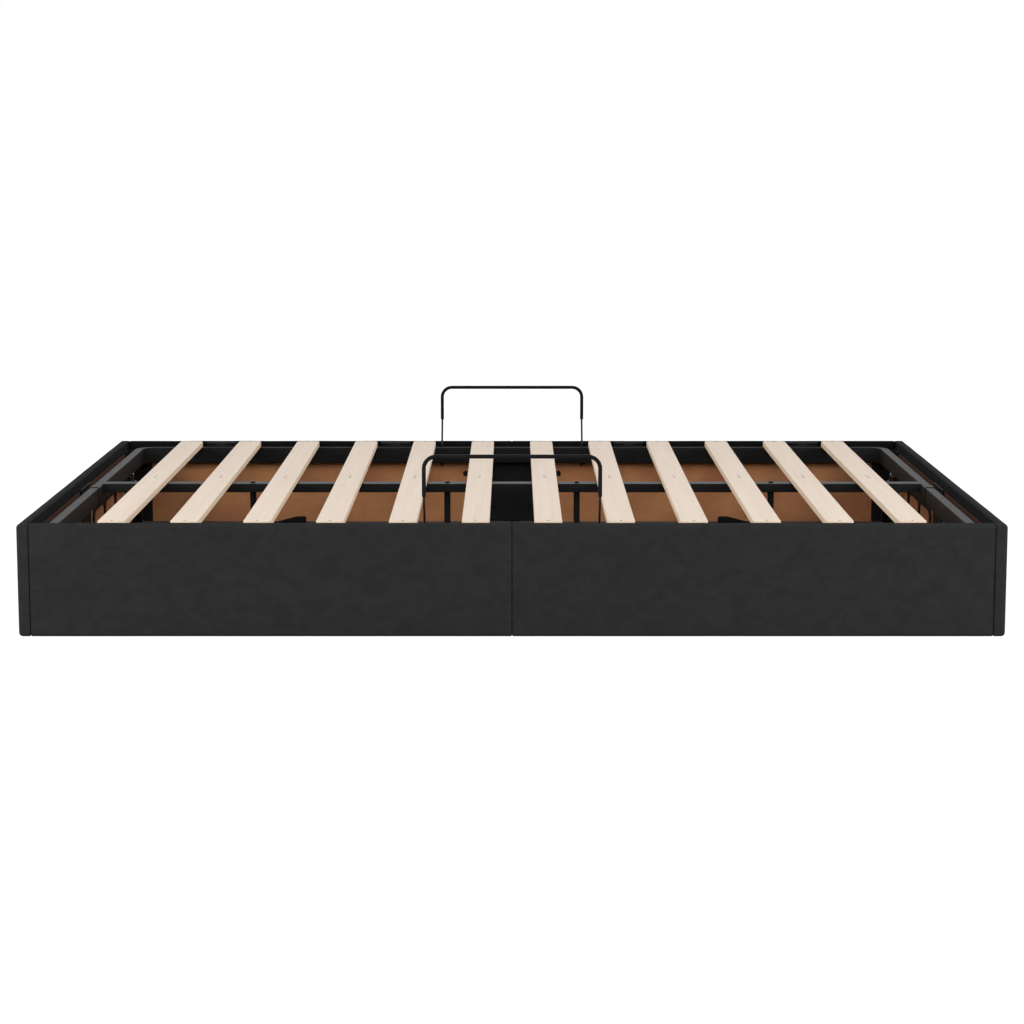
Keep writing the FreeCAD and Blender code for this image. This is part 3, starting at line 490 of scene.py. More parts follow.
def cover_blank(start, end, free_end):
    """A rounded box with a lip round its inner face."""
    work = bmesh.new()
    slits = [0 if x == free_end else CORNER_SLIT if x else SEAM_SLIT for x in (start, end)]
    start, end = start + slits[0], end - slits[1]
    block(work, (start, 0, 0), (end, PANEL_THICK, PANEL_HEIGHT))
    long_edges = [edge for edge in work.edges if edge.calc_length() > (end - start) / 2]
    fat = on_plane(long_edges, 1, PANEL_THICK)
    if free_end is not None:
        inner = on_plane(work.edges, 1, 0)
        fat += [edge for edge in on_plane(work.edges, 0, free_end) if edge not in inner]
    soften(work, fat, FAT_ROUND, segments=6)
    butted = [x for x in (start, end) if x != free_end]
    tight = [edge for x in butted for edge in on_plane(work.edges, 0, x)]
    tight += on_plane(work.edges, 1, 0)
    soften(work, list(dict.fromkeys(tight)), TIGHT_ROUND, segments=3)
    work.normal_update()
    face = max((f for f in work.faces if f.normal.y < -FACING), key=lambda f: f.calc_area())
    for vertex in face.verts:
        vertex.co.y -= LIP_PROUD
    for width in (LIP - TIGHT_ROUND, LIP_WALL):
        bmesh.ops.inset_region(work, faces=[face], thickness=width, depth=0.0, use_even_offset=True)
    for vertex in face.verts:
        vertex.co.y += SET_BACK
    for x, slit in ((start, slits[0]), (end, slits[1])):
        if slit:
            high = (x + slit, PANEL_THICK - FAT_ROUND, PANEL_HEIGHT - SLIT_DEEP)
            block(work, (x - slit, TIGHT_ROUND, TIGHT_ROUND), high)
    return work


# %% Crown the cloth over the foam
CLOTH_STEP = 0.024
CUT_SNAP = 1e-5
CROWN = 0.0011
HOLLOW = 0.0005
HOLLOWS_ALONG = 6
HOLLOWS_UP = 9
WAVER = 0.0005
WAVERS_ALONG = 11
WAVER_SEED = 3.0
NEAR_TOP = 0.9
FREE_END_REACH = FAT_ROUND * 1.1


def velvet_cover(side, half, start, end, free_end, seed):
    work = cover_blank(start, end, free_end)
    turned_in = work.verts.layers.float.new("turned_in")
    length = end - start
    steps_x = int(length / CLOTH_STEP)
    steps_z = int(PANEL_HEIGHT / CLOTH_STEP)
    cuts = [(Vector((start + length * n / steps_x, 0, 0)), Vector((1, 0, 0))) for n in range(1, steps_x)]
    cuts += [(Vector((0, 0, PANEL_HEIGHT * n / steps_z)), Vector((0, 0, 1))) for n in range(1, steps_z)]
    for spot, normal in cuts:
        everything = work.verts[:] + work.edges[:] + work.faces[:]
        bmesh.ops.bisect_plane(work, geom=everything, plane_co=spot, plane_no=normal, dist=CUT_SNAP)
    for vertex in work.verts:
        across = 2 * (vertex.co.x - start) / length - 1
        up = 2 * vertex.co.z / PANEL_HEIGHT - 1
        outward = max(0.0, vertex.co.y / PANEL_THICK)
        on_free_end = free_end and abs(vertex.co.x - free_end) < FREE_END_REACH
        # painted shade weight: 1 on the inner face, falling to 0 on the outer face, and 0 on a free end
        vertex[turned_in] = 0 if on_free_end else 1 - outward
        swell = (1 - across ** 6) * (1 - abs(up) ** 5)
        loose = 1 - across ** 8
        dent = noise.noise(Vector((vertex.co.x * HOLLOWS_ALONG, vertex.co.z * HOLLOWS_UP, seed)))
        vertex.co.y += outward * (CROWN * swell + HOLLOW * dent * loose)
        if up > NEAR_TOP:
            rise = noise.noise(Vector((vertex.co.x * WAVERS_ALONG, seed, WAVER_SEED)))
            vertex.co.z += WAVER * rise * loose
    bmesh.ops.transform(work, matrix=side_matrix(side), verts=work.verts)
    place = "%s_%s" % (side, half)
    cover = stand(work, "velvet_" + place, "base", "velvet", ["cover_" + place], crease=60.0)
    return cover


# %% All eight covers
SIDE_HALVES = {
    "front": (INNER_X, "right", "left"),
    "back": (INNER_X, "left", "right"),
    "left": (HALF_WIDTH, "front", "back"),
    "right": (HALF_WIDTH, "back", "front"),
}
covers = []
for number, (side, (reach, low_name, high_name)) in enumerate(SIDE_HALVES.items()):
    ends_free = side in ("left", "right")
    covers.append(velvet_cover(side, low_name, -reach, 0.0, -reach if ends_free else None, number + 0.2))
    covers.append(velvet_cover(side, high_name, 0.0, reach, reach if ends_free else None, number + 0.7))
print("covers:", [len(cover.data.polygons) for cover in covers])

# %% [markdown]
# ## Staples
# Inside, the velvet's edge is held by a row of staples. A staple is a bit of flat wire, so a small block
# with its edges taken off is enough. The row leaves out the places where a hinge leaf lies on the cloth.

# %% Staples along the tops
STAPLE = Vector((0.0105, 0.0007, 0.0013))
STAPLE_GAP = 0.072
STAPLE_DROP = 0.0165
STAPLE_INSET = 0.045
STAPLE_TILT = 0.12
STAPLE_SWING = 2.3
WIRE_EDGE = 0.0002
SEAM_CLEAR = 0.012
hinge_spans = [(low.x - STAPLE.x, high.x + STAPLE.x) for low, high in islands("hinge_fixed_leaves")]
work = bmesh.new()
staples = 0
for side in SIDE_HALVES:
    reach = (INNER_X if side in ("front", "back") else INNER_Y) - STAPLE_INSET
    count = int(2 * reach / STAPLE_GAP)
    for n in range(count + 1):
        x = -reach + 2 * reach * n / count
        under_hinge = side == "back" and any(low < x < high for low, high in hinge_spans)
        if abs(x) < SEAM_CLEAR or under_hinge:
            continue
        middle = Vector((x, -LIP_PROUD - STAPLE.y / 2, PANEL_HEIGHT - STAPLE_DROP))
        crown = block(work, middle - STAPLE / 2, middle + STAPLE / 2)
        tilt = Matrix.Rotation(STAPLE_TILT * math.sin(n * STAPLE_SWING), 4, "Y")
        around = Matrix.Translation(middle) @ tilt @ Matrix.Translation(-middle)
        bmesh.ops.transform(work, matrix=side_matrix(side) @ around, verts=crown)
        staples += 1
soften(work, work.edges, WIRE_EDGE, segments=1)
stand(work, "staples", "base", "bolt_steel", finish=STAPLE_WIRE)
print("staples:", staples)

# %% [markdown]
# ## Sheet steel and boards with broken edges
# Brackets, plates, hinge leaves, boards and cleats already have the right shape in the CAD model. What they
# lack is the tiny round that every cut edge has, which catches the light. So each is copied, its triangles
# are merged back into flat faces, and only its sharp edges are rounded.

# %% Break the edges of the flat pieces
FLAT_WITHIN = math.radians(0.5)
SHARP_OVER = math.radians(40)
EDGE_ROUNDS = {
    "corner_brackets": 0.0008, "joint_plates": 0.0008, "strut_base_plate": 0.0006, "lift_plate": 0.0006,
    "hinge_": 0.0004, "floor_board": 0.0012, "floor_cleats": 0.0015, "floor_centre_rail": 0.0012,
    "board_": 0.0005,
}


def eased(node, size):
    """A copy of a CAD node with its sharp edges rounded."""
    work = bmesh.new()
    work.from_mesh(frame["nodes"][node].data)
    bmesh.ops.remove_doubles(work, verts=work.verts, dist=SAME_SPOT)
    bmesh.ops.dissolve_limit(work, angle_limit=FLAT_WITHIN, verts=work.verts, edges=work.edges)
    sharp = [edge for edge in work.edges if edge.is_manifold and edge.calc_face_angle() > SHARP_OVER]
    soften(work, sharp, size, segments=2)
    return stand(work, "finished_" + node, body_of[node], slot_of[node], [node], crease=30.0)


flat_pieces = []
for node in sorted(slot_of):
    for start, size in EDGE_ROUNDS.items():
        if node.startswith(start):
            flat_pieces.append(eased(node, size))
            break
print("flat pieces:", len(flat_pieces))

# %% [markdown]
# ## Painted shade under the floor
# Where the storage floor's boards meet in the middle, a strip of dark cloth under them is painted shade: it
# keeps the white floor, which glows for the camera, from showing through the seam. A plane would hide it as
# well, but a thin block with its edges taken off has a real thickness in the mesh.

# %% Painted shade under the floor's seam
SHADE_STRIP_HALF = 0.015
SHADE_STRIP_THICK = 0.0006
SHADE_STRIP_INSET = 0.022
floor_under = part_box("floor_board_left_front")[0].z
work = bmesh.new()
reach = INNER_Y - SHADE_STRIP_INSET
# painted shade: a dark strip stands for the shade under the bed, where the white floor would show through
# the seam
block(work, (-SHADE_STRIP_HALF, -reach, floor_under - SHADE_STRIP_THICK), (SHADE_STRIP_HALF, reach, floor_under))
soften(work, work.edges, SHADE_STRIP_THICK / 4, segments=1)
stand(work, "seam_shade_strip", "base", "floor_board")
print("shade_strip:", round(2 * reach, 3), "m long")

# %% [markdown]
# ## The lift frame
# Two U-shaped hoops of rectangular tube plug together in the rails, with a thin collar over each seam, and
# a flat tube crosses the middle. Bent tube keeps its rounded edges all the way round the bend, so the hoop
# is grown from a rounded section instead of being cut from a flat sheet. The cross tube is welded to the
# rails, and a weld is a row of overlapping beads.

# %% Hoops
TUBE_WIDE = 0.020
TUBE_TALL = 0.040
TUBE_EDGE = 0.0022
FRAME_BEND = 0.040
hoop_low, hoop_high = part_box("frame_hoop_front")
back_low, back_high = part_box("frame_hoop_back")
RAIL_X = hoop_high.x - TUBE_WIDE / 2
BAR_Y = back_high.y - TUBE_WIDE / 2
RAIL_Z = (hoop_low.z + hoop_high.z) / 2
FRAME_TOP = hoop_high.z


def tube_hoop(name, seam_y, outward):
    """A U of rectangular tube, from the left rail's seam round to the right rail's."""
    work = bmesh.new()
    bar = BentBar(work, (-RAIL_X, seam_y, RAIL_Z), (0, outward, 0), (1, 0, 0))
    bar.flat_section(TUBE_WIDE, TUBE_TALL, TUBE_EDGE)
    bar.run(abs(outward * BAR_Y - seam_y) - FRAME_BEND)
    bar.bend((0, 0, -outward), 90, FRAME_BEND, steps=14)
    bar.run(2 * (RAIL_X - FRAME_BEND))
    bar.bend((0, 0, -outward), 90, FRAME_BEND, steps=14)
    bar.run(abs(outward * BAR_Y - seam_y) - FRAME_BEND).cap()
    return stand(work, name, "platform", "frame_steel", [name.replace("tube_", "frame_")], crease=30.0)


tube_hoop("tube_hoop_front", hoop_high.y, -1)
tube_hoop("tube_hoop_back", back_low.y, 1)
print("frame top at", round(FRAME_TOP, 4))

# %% Collars over the rail seams
COLLAR_PROUD = 0.0018
COLLAR_LONG = 0.030
work = bmesh.new()
for x in (-RAIL_X, RAIL_X):
    collar = BentBar(work, (x, hoop_high.y - COLLAR_PROUD, RAIL_Z), (0, 1, 0), (1, 0, 0))
    wide, tall = TUBE_WIDE + 2 * COLLAR_PROUD, TUBE_TALL + 2 * COLLAR_PROUD
    collar.flat_section(wide, tall, TUBE_EDGE + COLLAR_PROUD).run(COLLAR_LONG).cap()
stand(work, "rail_collars", "platform", "frame_steel", crease=30.0)
print("collars:", round(COLLAR_LONG, 3), "m long")

# %% Cross tube
CROSS_EDGE = 0.0012
bar_low, bar_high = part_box("mid_bar")
work = bmesh.new()
shaft = block(work, bar_low, bar_high)
along = [edge for edge in edges_of(shaft) if edge.calc_length() > bar_high.x]
soften(work, along, CROSS_EDGE, segments=3)
stand(work, "cross_tube", "platform", "frame_steel", ["mid_bar"], crease=30.0)
print("cross tube from", round(bar_low.x, 3), "to", round(bar_high.x, 3))

# %% Its welds, up both sides and along the underside
BEAD = 0.0022
SIDE_BEADS = 6
SIDE_BEAD_STEP = 0.0028
UNDER_BEADS = 12
UNDER_BEAD_STEP = 0.0031
bar_sides = (bar_low.y, bar_high.y)
spots = [(y, bar_low.z + (n + 1) * SIDE_BEAD_STEP) for y in bar_sides for n in range(SIDE_BEADS)]
spots += [(bar_low.y + (n + 1) * UNDER_BEAD_STEP, bar_low.z) for n in range(UNDER_BEADS)]
work = bmesh.new()
for end in (-1, 1):
    for y, z in spots:
        seat = Matrix.Translation((end * bar_high.x, y, z))
        bmesh.ops.create_icosphere(work, subdivisions=2, radius=BEAD, matrix=seat)
stand(work, "weld_beads", "platform", "frame_steel")
print("weld beads:", 2 * len(spots))

# %% [markdown]
# ## The slats
# A slat is a sawn board with its corners cut round and its edges sanded. The grain runs along it, so the
# finish reads coordinates that are squeezed across the slat. Each slat is held by a screw over each long
# bar and a pair over the mid bar, driven flush. A screw head is a shallow cone with a recess pushed into
# its top.

# %% Slats
SLAT_CORNER = 0.009
SLAT_EDGE = 0.0016


def edge_rise(edge):
    return abs(edge.verts[0].co.z - edge.verts[1].co.z)


slat_nodes = sorted(name for name in frame["nodes"] if name.startswith("slat_"))
slat_x = []
for name in slat_nodes:
    low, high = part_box(name)
    slat_x.append((low.x + high.x) / 2)
    work = bmesh.new()
    plank = block(work, low, high)
    corners = [edge for edge in edges_of(plank) if edge_rise(edge) > SAME_SPOT]
    soften(work, corners, SLAT_CORNER, segments=6)
    rims = [edge for edge in work.edges if edge_rise(edge) < SAME_SPOT]
    soften(work, rims, SLAT_EDGE, segments=3)
    stand(work, "timber_" + name, "platform", "slat_wood", [name], crease=32.0)
SLAT_TOP = high.z
print("slats:", len(slat_nodes), "top at", round(SLAT_TOP, 4))

# %% Slat screws
END_SCREW = 0.003
MID_SCREW = 0.0036
MID_SCREW_Y = 0.0135
SCREW_TAPER = 0.85
SCREW_TALL = 0.0010
RECESS_RIM = 0.0008
RECESS_DEEP = 0.0004
screw_row = ((-BAR_Y, END_SCREW), (BAR_Y, END_SCREW), (-MID_SCREW_Y, MID_SCREW), (MID_SCREW_Y, MID_SCREW))
work = bmesh.new()
for x in slat_x:
    for y, radius in screw_row:
        seat = Matrix.Translation((x, y, SLAT_TOP))
        bmesh.ops.create_cone(work, cap_ends=True, segments=14, radius1=radius, radius2=radius * SCREW_TAPER,
                              depth=SCREW_TALL, matrix=seat)
work.normal_update()
tops = [face for face in work.faces if face.normal.z > FACING]
bmesh.ops.inset_individual(work, faces=tops, thickness=RECESS_RIM, depth=-RECESS_DEEP)
stand(work, "slat_screws", "platform", "bolt_steel", finish=SCREW)
print("screws:", len(slat_x) * len(screw_row))

# %% [markdown]
# ## Bolts and nuts
# The CAD model keeps each bolt head as a bare hexagon. A real one has its corners turned off and sits on a
# washer. Every island of the CAD node is one bolt, thinnest along its own axis, so its place and its facing
# are read from it.

# %% Bolt heads and nuts with washers
HEAD_LIFT = 0.0008
HEAD_EDGE = 0.0005
WASHER_THICK = 0.0009
WASHER_BULGE = 0.0005
WASHER_FOOT, WASHER_RIM, WASHER_TOP = 1.32, 1.36, 1.30


def hex_fastener(work, seat, outward, radius, height):
    """A hexagon with turned corners on a washer, standing on its seat."""
    turn = Vector((0, 0, 1)).rotation_difference(outward).to_matrix().to_4x4()
    place = Matrix.Translation(seat + outward * (height / 2 + HEAD_LIFT / 2)) @ turn
    head = bmesh.ops.create_cone(work, cap_ends=True, segments=6, radius1=radius, radius2=radius,
                                 depth=height - HEAD_LIFT, matrix=place)["verts"]
    soften(work, edges_of(head), HEAD_EDGE, segments=2)
    washer = ((0, 0), (0, radius * WASHER_FOOT), (WASHER_BULGE, radius * WASHER_RIM),
              (WASHER_THICK, radius * WASHER_TOP), (WASHER_THICK, 0))
    turned(work, seat, outward, washer, segments=18)


def fasten(node, name, body, facing):
    work = bmesh.new()
    found = islands(node)
    for low, high in found:
        size = high - low
        axis = min(range(3), key=lambda n: size[n])
        middle = (low + high) / 2
        outward = Vector((0, 0, 0))
        outward[axis] = facing(middle, axis)
        seat = middle - outward * size[axis] / 2
        hex_fastener(work, seat, outward, max(size) / 2, size[axis])
    stand(work, name, body, "bolt_steel", [node], crease=30.0)
    return len(found)


def into_the_bed(middle, axis):
    return -math.copysign(1, middle[axis])


def off_the_frame(middle, axis):
    if axis == 0:
        return math.copysign(1, middle.x)
    return 1 if middle.z > RAIL_Z else -1


print("panel bolts:", fasten("panel_bolts", "panel_bolt_heads", "base", into_the_bed))
print("platform bolts:", fasten("platform_fasteners", "platform_bolt_heads", "platform", off_the_frame))

# %% [markdown]
# ## The mattress retainers
# A retainer is a wire that comes up through the long bar, leans outwards over the panel and carries a
# thicker loop in a plastic sleeve. Both are bent bars, so the tube bender makes them from the same bends as
# the CAD model.

# %% Retainer rods and loops
ROD_RADIUS = 0.0024
KNEE = 0.008
SLEEVE_EDGE = 0.001
rod_low, rod_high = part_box("retainer_rods_back")
loop_low, loop_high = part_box("retainer_loop_back")
LOOP_RADIUS = (loop_high.y - loop_low.y) / 2
LOOP_Y = (loop_high.y + loop_low.y) / 2
LOOP_X = loop_high.x - LOOP_RADIUS
LOOP_BEND = 0.025
KNEE_LOW = FRAME_TOP + 0.008
KNEE_HIGH = PANEL_HEIGHT + 0.050


def retainer_rods(name, outward):
    work = bmesh.new()
    lean = math.atan2(LOOP_Y - BAR_Y, KNEE_HIGH - KNEE_LOW)
    slope = math.hypot(LOOP_Y - BAR_Y, KNEE_HIGH - KNEE_LOW)
    cut_off = KNEE * math.tan(lean / 2)
    for x in (-LOOP_X, LOOP_X):
        bar = BentBar(work, (x, outward * BAR_Y, rod_low.z), (0, 0, 1), (1, 0, 0))
        bar.round_section(ROD_RADIUS, segments=16)
        bar.run(KNEE_LOW - rod_low.z - cut_off).bend((-outward, 0, 0), math.degrees(lean), KNEE, steps=6)
        bar.run(slope - 2 * cut_off).bend((outward, 0, 0), math.degrees(lean), KNEE, steps=6)
        bar.run(rod_high.z - KNEE_HIGH - cut_off).cap()
    node = name.replace("wire_", "retainer_")
    return stand(work, name, "platform", "frame_steel", [node], crease=40.0)


def retainer_loop(name, outward):
    work = bmesh.new()
    side = loop_high.z - LOOP_RADIUS - LOOP_BEND - loop_low.z
    bar = BentBar(work, (-LOOP_X, outward * LOOP_Y, loop_low.z), (0, 0, 1), (1, 0, 0))
    bar.round_section(LOOP_RADIUS, segments=24)
    bar.run(side).bend((0, 1, 0), 90, LOOP_BEND, steps=14).run(2 * (LOOP_X - LOOP_BEND))
    bar.bend((0, 1, 0), 90, LOOP_BEND, steps=14).run(side).cap()
    soften(work, on_plane(work.edges, 2, loop_low.z), SLEEVE_EDGE, segments=2)
    node = name.replace("sleeve_", "retainer_")
    return stand(work, name, "platform", "sleeve_plastic", [node], crease=40.0)


for end, outward in (("front", -1), ("back", 1)):
    retainer_rods("wire_rods_" + end, outward)
    retainer_loop("sleeve_loop_" + end, outward)
print("retainers reach", round(loop_high.z, 4))

# %% [markdown]
# ## Legs and feet
# Four round legs carry the mid bar. Each is welded to the bar, which leaves a small fillet round its top,
# and stands in a rubber cup with a rounded foot, so a lathe profile is all that they need.

# %% Legs and feet
LEG_RADIUS = 0.00725
LEG_EDGE = 0.0004
FILLET_TALL = 0.0016
FILLET_WIDE = 0.0014
FOOT_RADIUS = 0.011


def leg_profile(tall):
    """A round bar with a broken lower edge and the fillet of its weld at the top."""
    return ((0, 0), (0, LEG_RADIUS - LEG_EDGE), (LEG_EDGE, LEG_RADIUS), (tall - FILLET_TALL, LEG_RADIUS),
            (tall - 0.0006, LEG_RADIUS + 0.0004), (tall, LEG_RADIUS + FILLET_WIDE), (tall, 0))


def foot_profile(tall):
    """A rounded sole, a waist and a rounded rim."""
    set_in = ((0, 0.0014), (0.0005, 0.0004), (0.0016, 0), (tall * 0.55, 0.0006), (tall - 0.0012, 0.0009),
              (tall, 0.0020))
    return ((0, 0), *((height, FOOT_RADIUS - inset) for height, inset in set_in), (tall, 0))


leg_boxes = islands("support_legs")
foot_boxes = islands("leg_feet")
legs, feet = bmesh.new(), bmesh.new()
for (low, high), (foot_low, foot_high) in zip(leg_boxes, foot_boxes):
    x = (low.x + high.x) / 2
    turned(legs, (x, 0, low.z), (0, 0, 1), leg_profile(high.z - low.z))
    turned(feet, (x, 0, foot_low.z), (0, 0, 1), foot_profile(foot_high.z - foot_low.z))
stand(legs, "turned_legs", "platform", "frame_steel", ["support_legs"], crease=30.0)
stand(feet, "rubber_feet", "platform", "rubber", ["leg_feet"], crease=50.0)
print("legs:", len(leg_boxes), "feet:", len(foot_boxes))

# %% [markdown]
# ## The pull loops of the storage floor
# A strip of webbing stands on edge, is folded back on itself and sewn together at its outer end, where it
# lies down on the floor. It is a flat section that goes along one side, round the fold and back along the
# other side. Then its upper edge is brought down, a little everywhere because webbing sags, and more
# towards the sewn end. Rows of stitches hold the end.

# %% Straps of the pull loops
STRAP_THICK = 0.002
STRAP_EDGE = 0.0006
FOLD = 0.0074
FOLD_HALF = 0.009
TIP_HALF = 0.0015
TIP_HEIGHT = 0.007
TIP_GAP = 0.0004
FULL_RUN = 0.024
SAG = 0.8
SEWN = 0.018
SEWN_HALF = 0.0021


class PullLoop:
    """Where one strap lies, from the box of its CAD solid."""

    def __init__(self, low, high):
        self.low, self.high = low, high
        self.outward = math.copysign(1, low.x)
        self.tip_x = high.x if self.outward > 0 else low.x
        self.y = (low.y + high.y) / 2
        self.width = high.z - low.z
        self.slope = high.x - low.x - FULL_RUN
        self.span = high.x - low.x - STRAP_THICK / 2
        self.lean = math.atan2(FOLD_HALF - TIP_HALF, self.span)

    def upper_edge(self, from_tip):
        """Height of the strap before it sags; it rises from the sewn end and is then level."""
        return min(self.width, TIP_HEIGHT + (self.width - TIP_HEIGHT) * from_tip / self.slope)

    def strap(self, work):
        """Along one side, round the fold and back, with the sewn end filled."""
        before = len(work.verts)
        turn = math.pi / 2 + self.lean
        corner = FOLD * math.tan(turn / 2)
        sloped = self.slope / math.cos(self.lean)
        level = self.span / math.cos(self.lean) - corner - sloped
        start = (self.tip_x, self.y + TIP_HALF, self.low.z + self.width / 2)
        heading = (-self.outward * math.cos(self.lean), math.sin(self.lean), 0)
        axis = (0, 0, self.outward)
        bar = BentBar(work, start, heading, (0, 0, 1))
        bar.flat_section(self.width, STRAP_THICK, STRAP_EDGE, segments=3).run(sloped).run(level)
        bar.bend(axis, math.degrees(turn), FOLD, steps=12).run(2 * (FOLD_HALF - corner))
        bar.bend(axis, math.degrees(turn), FOLD, steps=12).run(level).run(sloped).cap()
        ends = sorted((self.tip_x - self.outward * TIP_GAP, self.tip_x - self.outward * SEWN))
        block(work, (ends[0], self.y - SEWN_HALF, self.low.z),
              (ends[1], self.y + SEWN_HALF, self.high.z - STRAP_EDGE))
        work.verts.ensure_lookup_table()
        for vertex in work.verts[before:]:
            share = self.upper_edge(self.outward * (self.tip_x - vertex.co.x)) / self.width
            vertex.co.z = self.low.z + (vertex.co.z - self.low.z) * share * SAG


pull_loops = [PullLoop(low, high) for low, high in islands("floor_pull_loops")]
work = bmesh.new()
for loop in pull_loops:
    loop.strap(work)
stand(work, "webbing_pull_loops", "base", "webbing", ["floor_pull_loops"], crease=40.0)
print("pull loops:", len(pull_loops))

# %% Stitches at their sewn ends
STITCH_HALF = Vector((0.0011, 0.0004, 0.0003))
STITCH_ROWS = 5
FIRST_ROW = 0.003
ROW_GAP = 0.0033
STITCHES_UP = 3
work = bmesh.new()
for loop in pull_loops:
    for row in range(STITCH_ROWS):
        from_tip = FIRST_ROW + ROW_GAP * row
        tall = loop.upper_edge(from_tip) * SAG
        out = TIP_HALF + STRAP_THICK / 2 + from_tip * math.tan(loop.lean)
        for face in (-out, out):
            for n in range(1, STITCHES_UP + 1):
                rise = tall * n / (STITCHES_UP + 1)
                at = Vector((loop.tip_x - loop.outward * from_tip, loop.y + face, loop.low.z + rise))
                block(work, at - STITCH_HALF, at + STITCH_HALF)
soften(work, work.edges, WIRE_EDGE, segments=1)
stand(work, "pull_loop_stitches", "base", "webbing", finish=THREAD)
print("stitches:", len(pull_loops) * STITCH_ROWS * STITCHES_UP * 2)

# %% [markdown]
# ## The gas struts
# A strut is a gloss black cylinder with a rolled mouth and a polished rod that slides in it. Each ends in
# an eye on a pin. All of it is turned work: the cylinder is spun from a profile that goes up its outside
# and back down its bore, so that the rod has room to slide.

# %% Profiles of the struts
EYE_RADIUS = 0.0085
EYE_HALF = 0.005
EYE_BORE = 0.0041
EYE_EDGE = 0.0008
NECK_START = 0.006
NECK_RADIUS = 0.0042
CYLINDER_RADIUS = 0.010
GROOVE_RADIUS = 0.0094
BORE_RADIUS = 0.008
BORE_START = 0.020
MOUTH_BACK = 0.025
MOUTH_RADIUS = 0.0082
SEAL_LONG = 0.004
FERRULE_RADIUS = 0.0052
STRUT_ROD = 0.004
ROD_BACK = 0.023
PISTON_RADIUS = 0.0076
PISTON_LONG = 0.008


def strut_eye(work, centre):
    rim = EYE_RADIUS - EYE_EDGE
    turned(work, centre, (1, 0, 0), (
        (-EYE_HALF, EYE_BORE), (-EYE_HALF, rim), (-EYE_HALF + EYE_EDGE, EYE_RADIUS),
        (EYE_HALF - EYE_EDGE, EYE_RADIUS), (EYE_HALF, rim), (EYE_HALF, EYE_BORE)), segments=32, ring=True)


def cylinder_profile(mouth):
    """Up the outside with its rolled groove, in at the mouth and down the bore."""
    neck = ((NECK_START, 0), (NECK_START, NECK_RADIUS), (0.0135, NECK_RADIUS))
    outside = ((0.014, 0.0088), (0.0155, CYLINDER_RADIUS), (mouth - 0.006, CYLINDER_RADIUS))
    groove = ((mouth - 0.0055, GROOVE_RADIUS), (mouth - 0.0045, GROOVE_RADIUS))
    lip = ((mouth - 0.004, CYLINDER_RADIUS), (mouth - 0.0015, CYLINDER_RADIUS), (mouth, MOUTH_RADIUS),
           (mouth, NECK_RADIUS))
    seal = ((mouth - SEAL_LONG, NECK_RADIUS), (mouth - SEAL_LONG, BORE_RADIUS))
    return neck + outside + groove + lip + seal + ((BORE_START, BORE_RADIUS), (BORE_START, 0))


def rod_profile(length):
    """A ferrule at the eye, the rod, and the piston at its end."""
    ferrule = ((NECK_START, 0), (NECK_START, FERRULE_RADIUS), (0.0125, FERRULE_RADIUS), (0.013, STRUT_ROD))
    piston = length - PISTON_LONG
    return ferrule + ((piston, STRUT_ROD), (piston, PISTON_RADIUS), (length, PISTON_RADIUS), (length, 0))


# %% Cylinders and rods
pin_of = {joint["child"]: Vector(joint["pos_m"]) for joint in frame["record"]["behaviour"]["joints"]}
for side in ("left", "right"):
    cylinder, piston = "strut_%s_cylinder" % side, "strut_%s_piston" % side
    foot, head = pin_of[cylinder], pin_of[piston]
    along = (head - foot).normalized()
    closed = (head - foot).length
    work = bmesh.new()
    strut_eye(work, foot)
    turned(work, foot, along, cylinder_profile(closed - MOUTH_BACK), segments=32)
    stand(work, "gloss_cylinder_" + side, cylinder, "strut_black", ["strut_barrel_" + side], crease=34.0)
    work = bmesh.new()
    strut_eye(work, head)
    turned(work, head, -along, rod_profile(closed - ROD_BACK))
    stand(work, "polished_rod_" + side, piston, "strut_chrome", ["strut_rod_" + side], crease=34.0)
print("strut length at rest:", round(closed, 4))

# %% [markdown]
# ## Camera, light and floor
# The photograph is taken from in front of the long side, from about a metre up, with a long lens. The floor
# and the background are white in it, so both glow white for rays that the camera or a glossy surface sends,
# and still take the object's shadow. Soft lights hang above and stand in front and behind. The strongest
# two stand low on the left and the right, because they also have to light the upright edges of the slats.

# %% Camera
camera_data = bpy.data.cameras.new("camera")
camera_data.lens = 90.708
camera_data.sensor_width = 36.0
camera = bpy.data.objects.new("camera", camera_data)
camera.location = (0, -5.9263, 1.0377)
camera.rotation_euler = (math.radians(81.511), 0, 0)
scene.collection.objects.link(camera)
scene.camera = camera
print("camera at", tuple(camera.location))


# %% Soft lights
AIM = Vector((0, 0, 0.2))


def soft_box(name, place, size, power):
    data = bpy.data.lights.new(name, "AREA")
    data.shape = "RECTANGLE"
    data.size, data.size_y = size
    data.energy = power
    lamp = bpy.data.objects.new(name, data)
    lamp.location = place
    lamp.rotation_euler = (AIM - Vector(place)).to_track_quat("-Z", "Y").to_euler()
    scene.collection.objects.link(lamp)


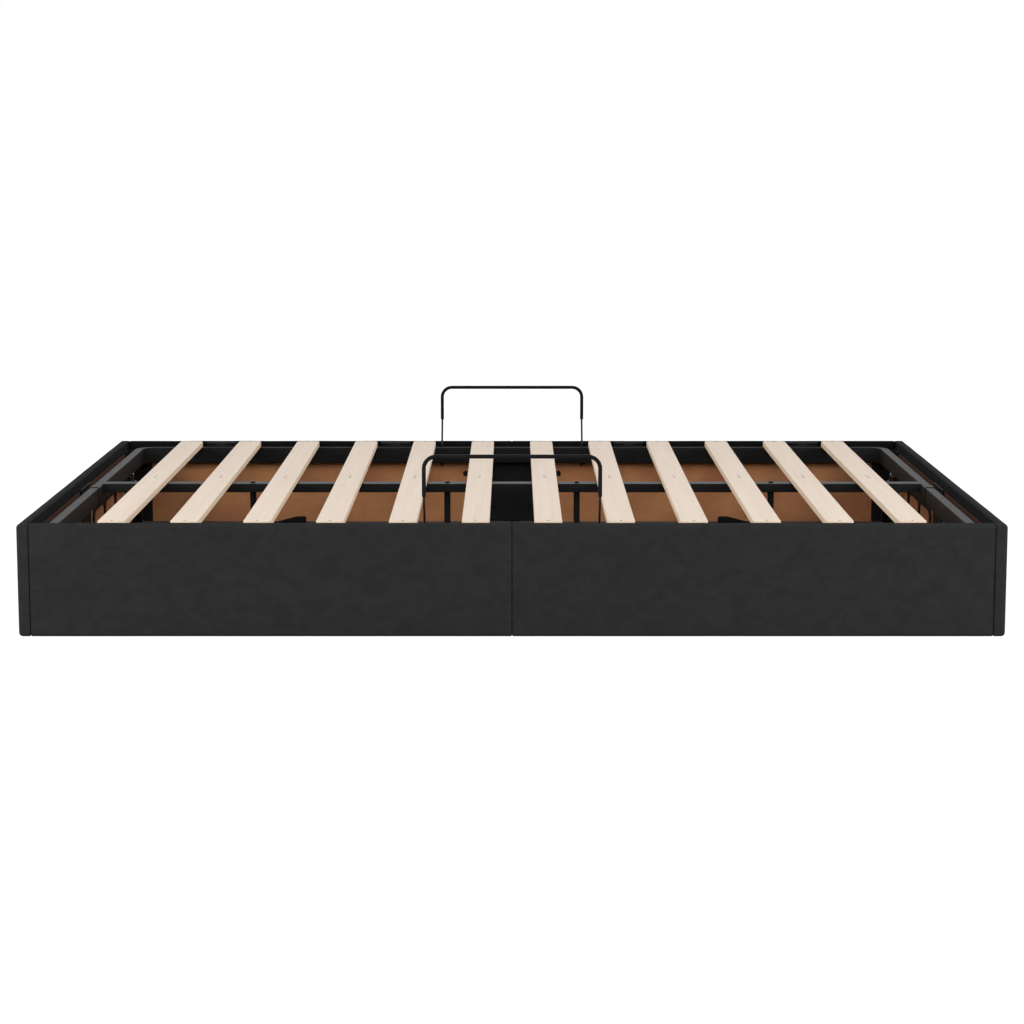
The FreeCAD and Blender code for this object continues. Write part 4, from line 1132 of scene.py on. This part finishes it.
soft_box("top_light", (0, -0.6, 4.2), size=(4.5, 3.5), power=24)
soft_box("front_light", (0, -5.0, 2.7), size=(3.6, 2.0), power=50)
soft_box("back_light", (0, 5.0, 2.7), size=(3.6, 2.0), power=45)
for name, x in (("left_light", -3.4), ("right_light", 3.4)):
    soft_box(name, (x, -2.0, 1.7), size=(2.4, 2.0), power=98)
scene.view_settings.view_transform = "Standard"


# %% White background
def in_view(finish):
    """1 for a ray that comes from the camera, a glossy surface or a clear one."""
    kinds = ("Camera", "Glossy", "Transmission")
    rays = [finish.add("ShaderNodeLightPath", out="Is %s Ray" % kind) for kind in kinds]
    total = rays[0] + rays[1] + rays[2]
    return finish.add("ShaderNodeMath", {"operation": "MINIMUM"}, {0: total, 1: 1.0})


SKY_LIGHT = 0.30
world = bpy.data.worlds.new("studio")
scene.world = world
studio = Finish("studio", world)
background = studio.tree.nodes["Background"]
background.inputs["Color"].default_value = (1, 1, 1, 1)
background.inputs["Strength"].default_value = SKY_LIGHT
sky = Tone(studio, background.outputs[0])
white = studio.add("ShaderNodeBackground", None, {"Color": (1, 1, 1, 1), "Strength": 1.0})
mixed = studio.add("ShaderNodeMixShader", None, {0: in_view(studio), 1: sky, 2: white})
studio.tree.links.new(mixed.socket, studio.tree.nodes["World Output"].inputs["Surface"])
print("light from the sky:", SKY_LIGHT)

# %% White floor
FLOOR_REACH = 30.0
FLOOR_GLOW = 0.80
FLOOR_WHITE = 1.2
floor_work = bmesh.new()
bmesh.ops.create_grid(floor_work, x_segments=1, y_segments=1, size=FLOOR_REACH)
floor_mesh = bpy.data.meshes.new("studio_floor")
floor_work.to_mesh(floor_mesh)
floor_work.free()
floor = bpy.data.objects.new("studio_floor", floor_mesh)
scene.collection.objects.link(floor)
ground = Finish("studio_floor", Base_Color=(0.86, 0.86, 0.86, 1), Roughness=0.9)
matte = Tone(ground, ground.shader.outputs[0])
glow = ground.add("ShaderNodeEmission", None, {"Strength": FLOOR_WHITE})
mixed = ground.add("ShaderNodeMixShader", None, {0: in_view(ground) * FLOOR_GLOW, 1: matte, 2: glow})
ground.tree.links.new(mixed.socket, ground.tree.nodes["Material Output"].inputs["Surface"])
floor_mesh.materials.append(ground.owner)
print("floor reaches", FLOOR_REACH, "m")
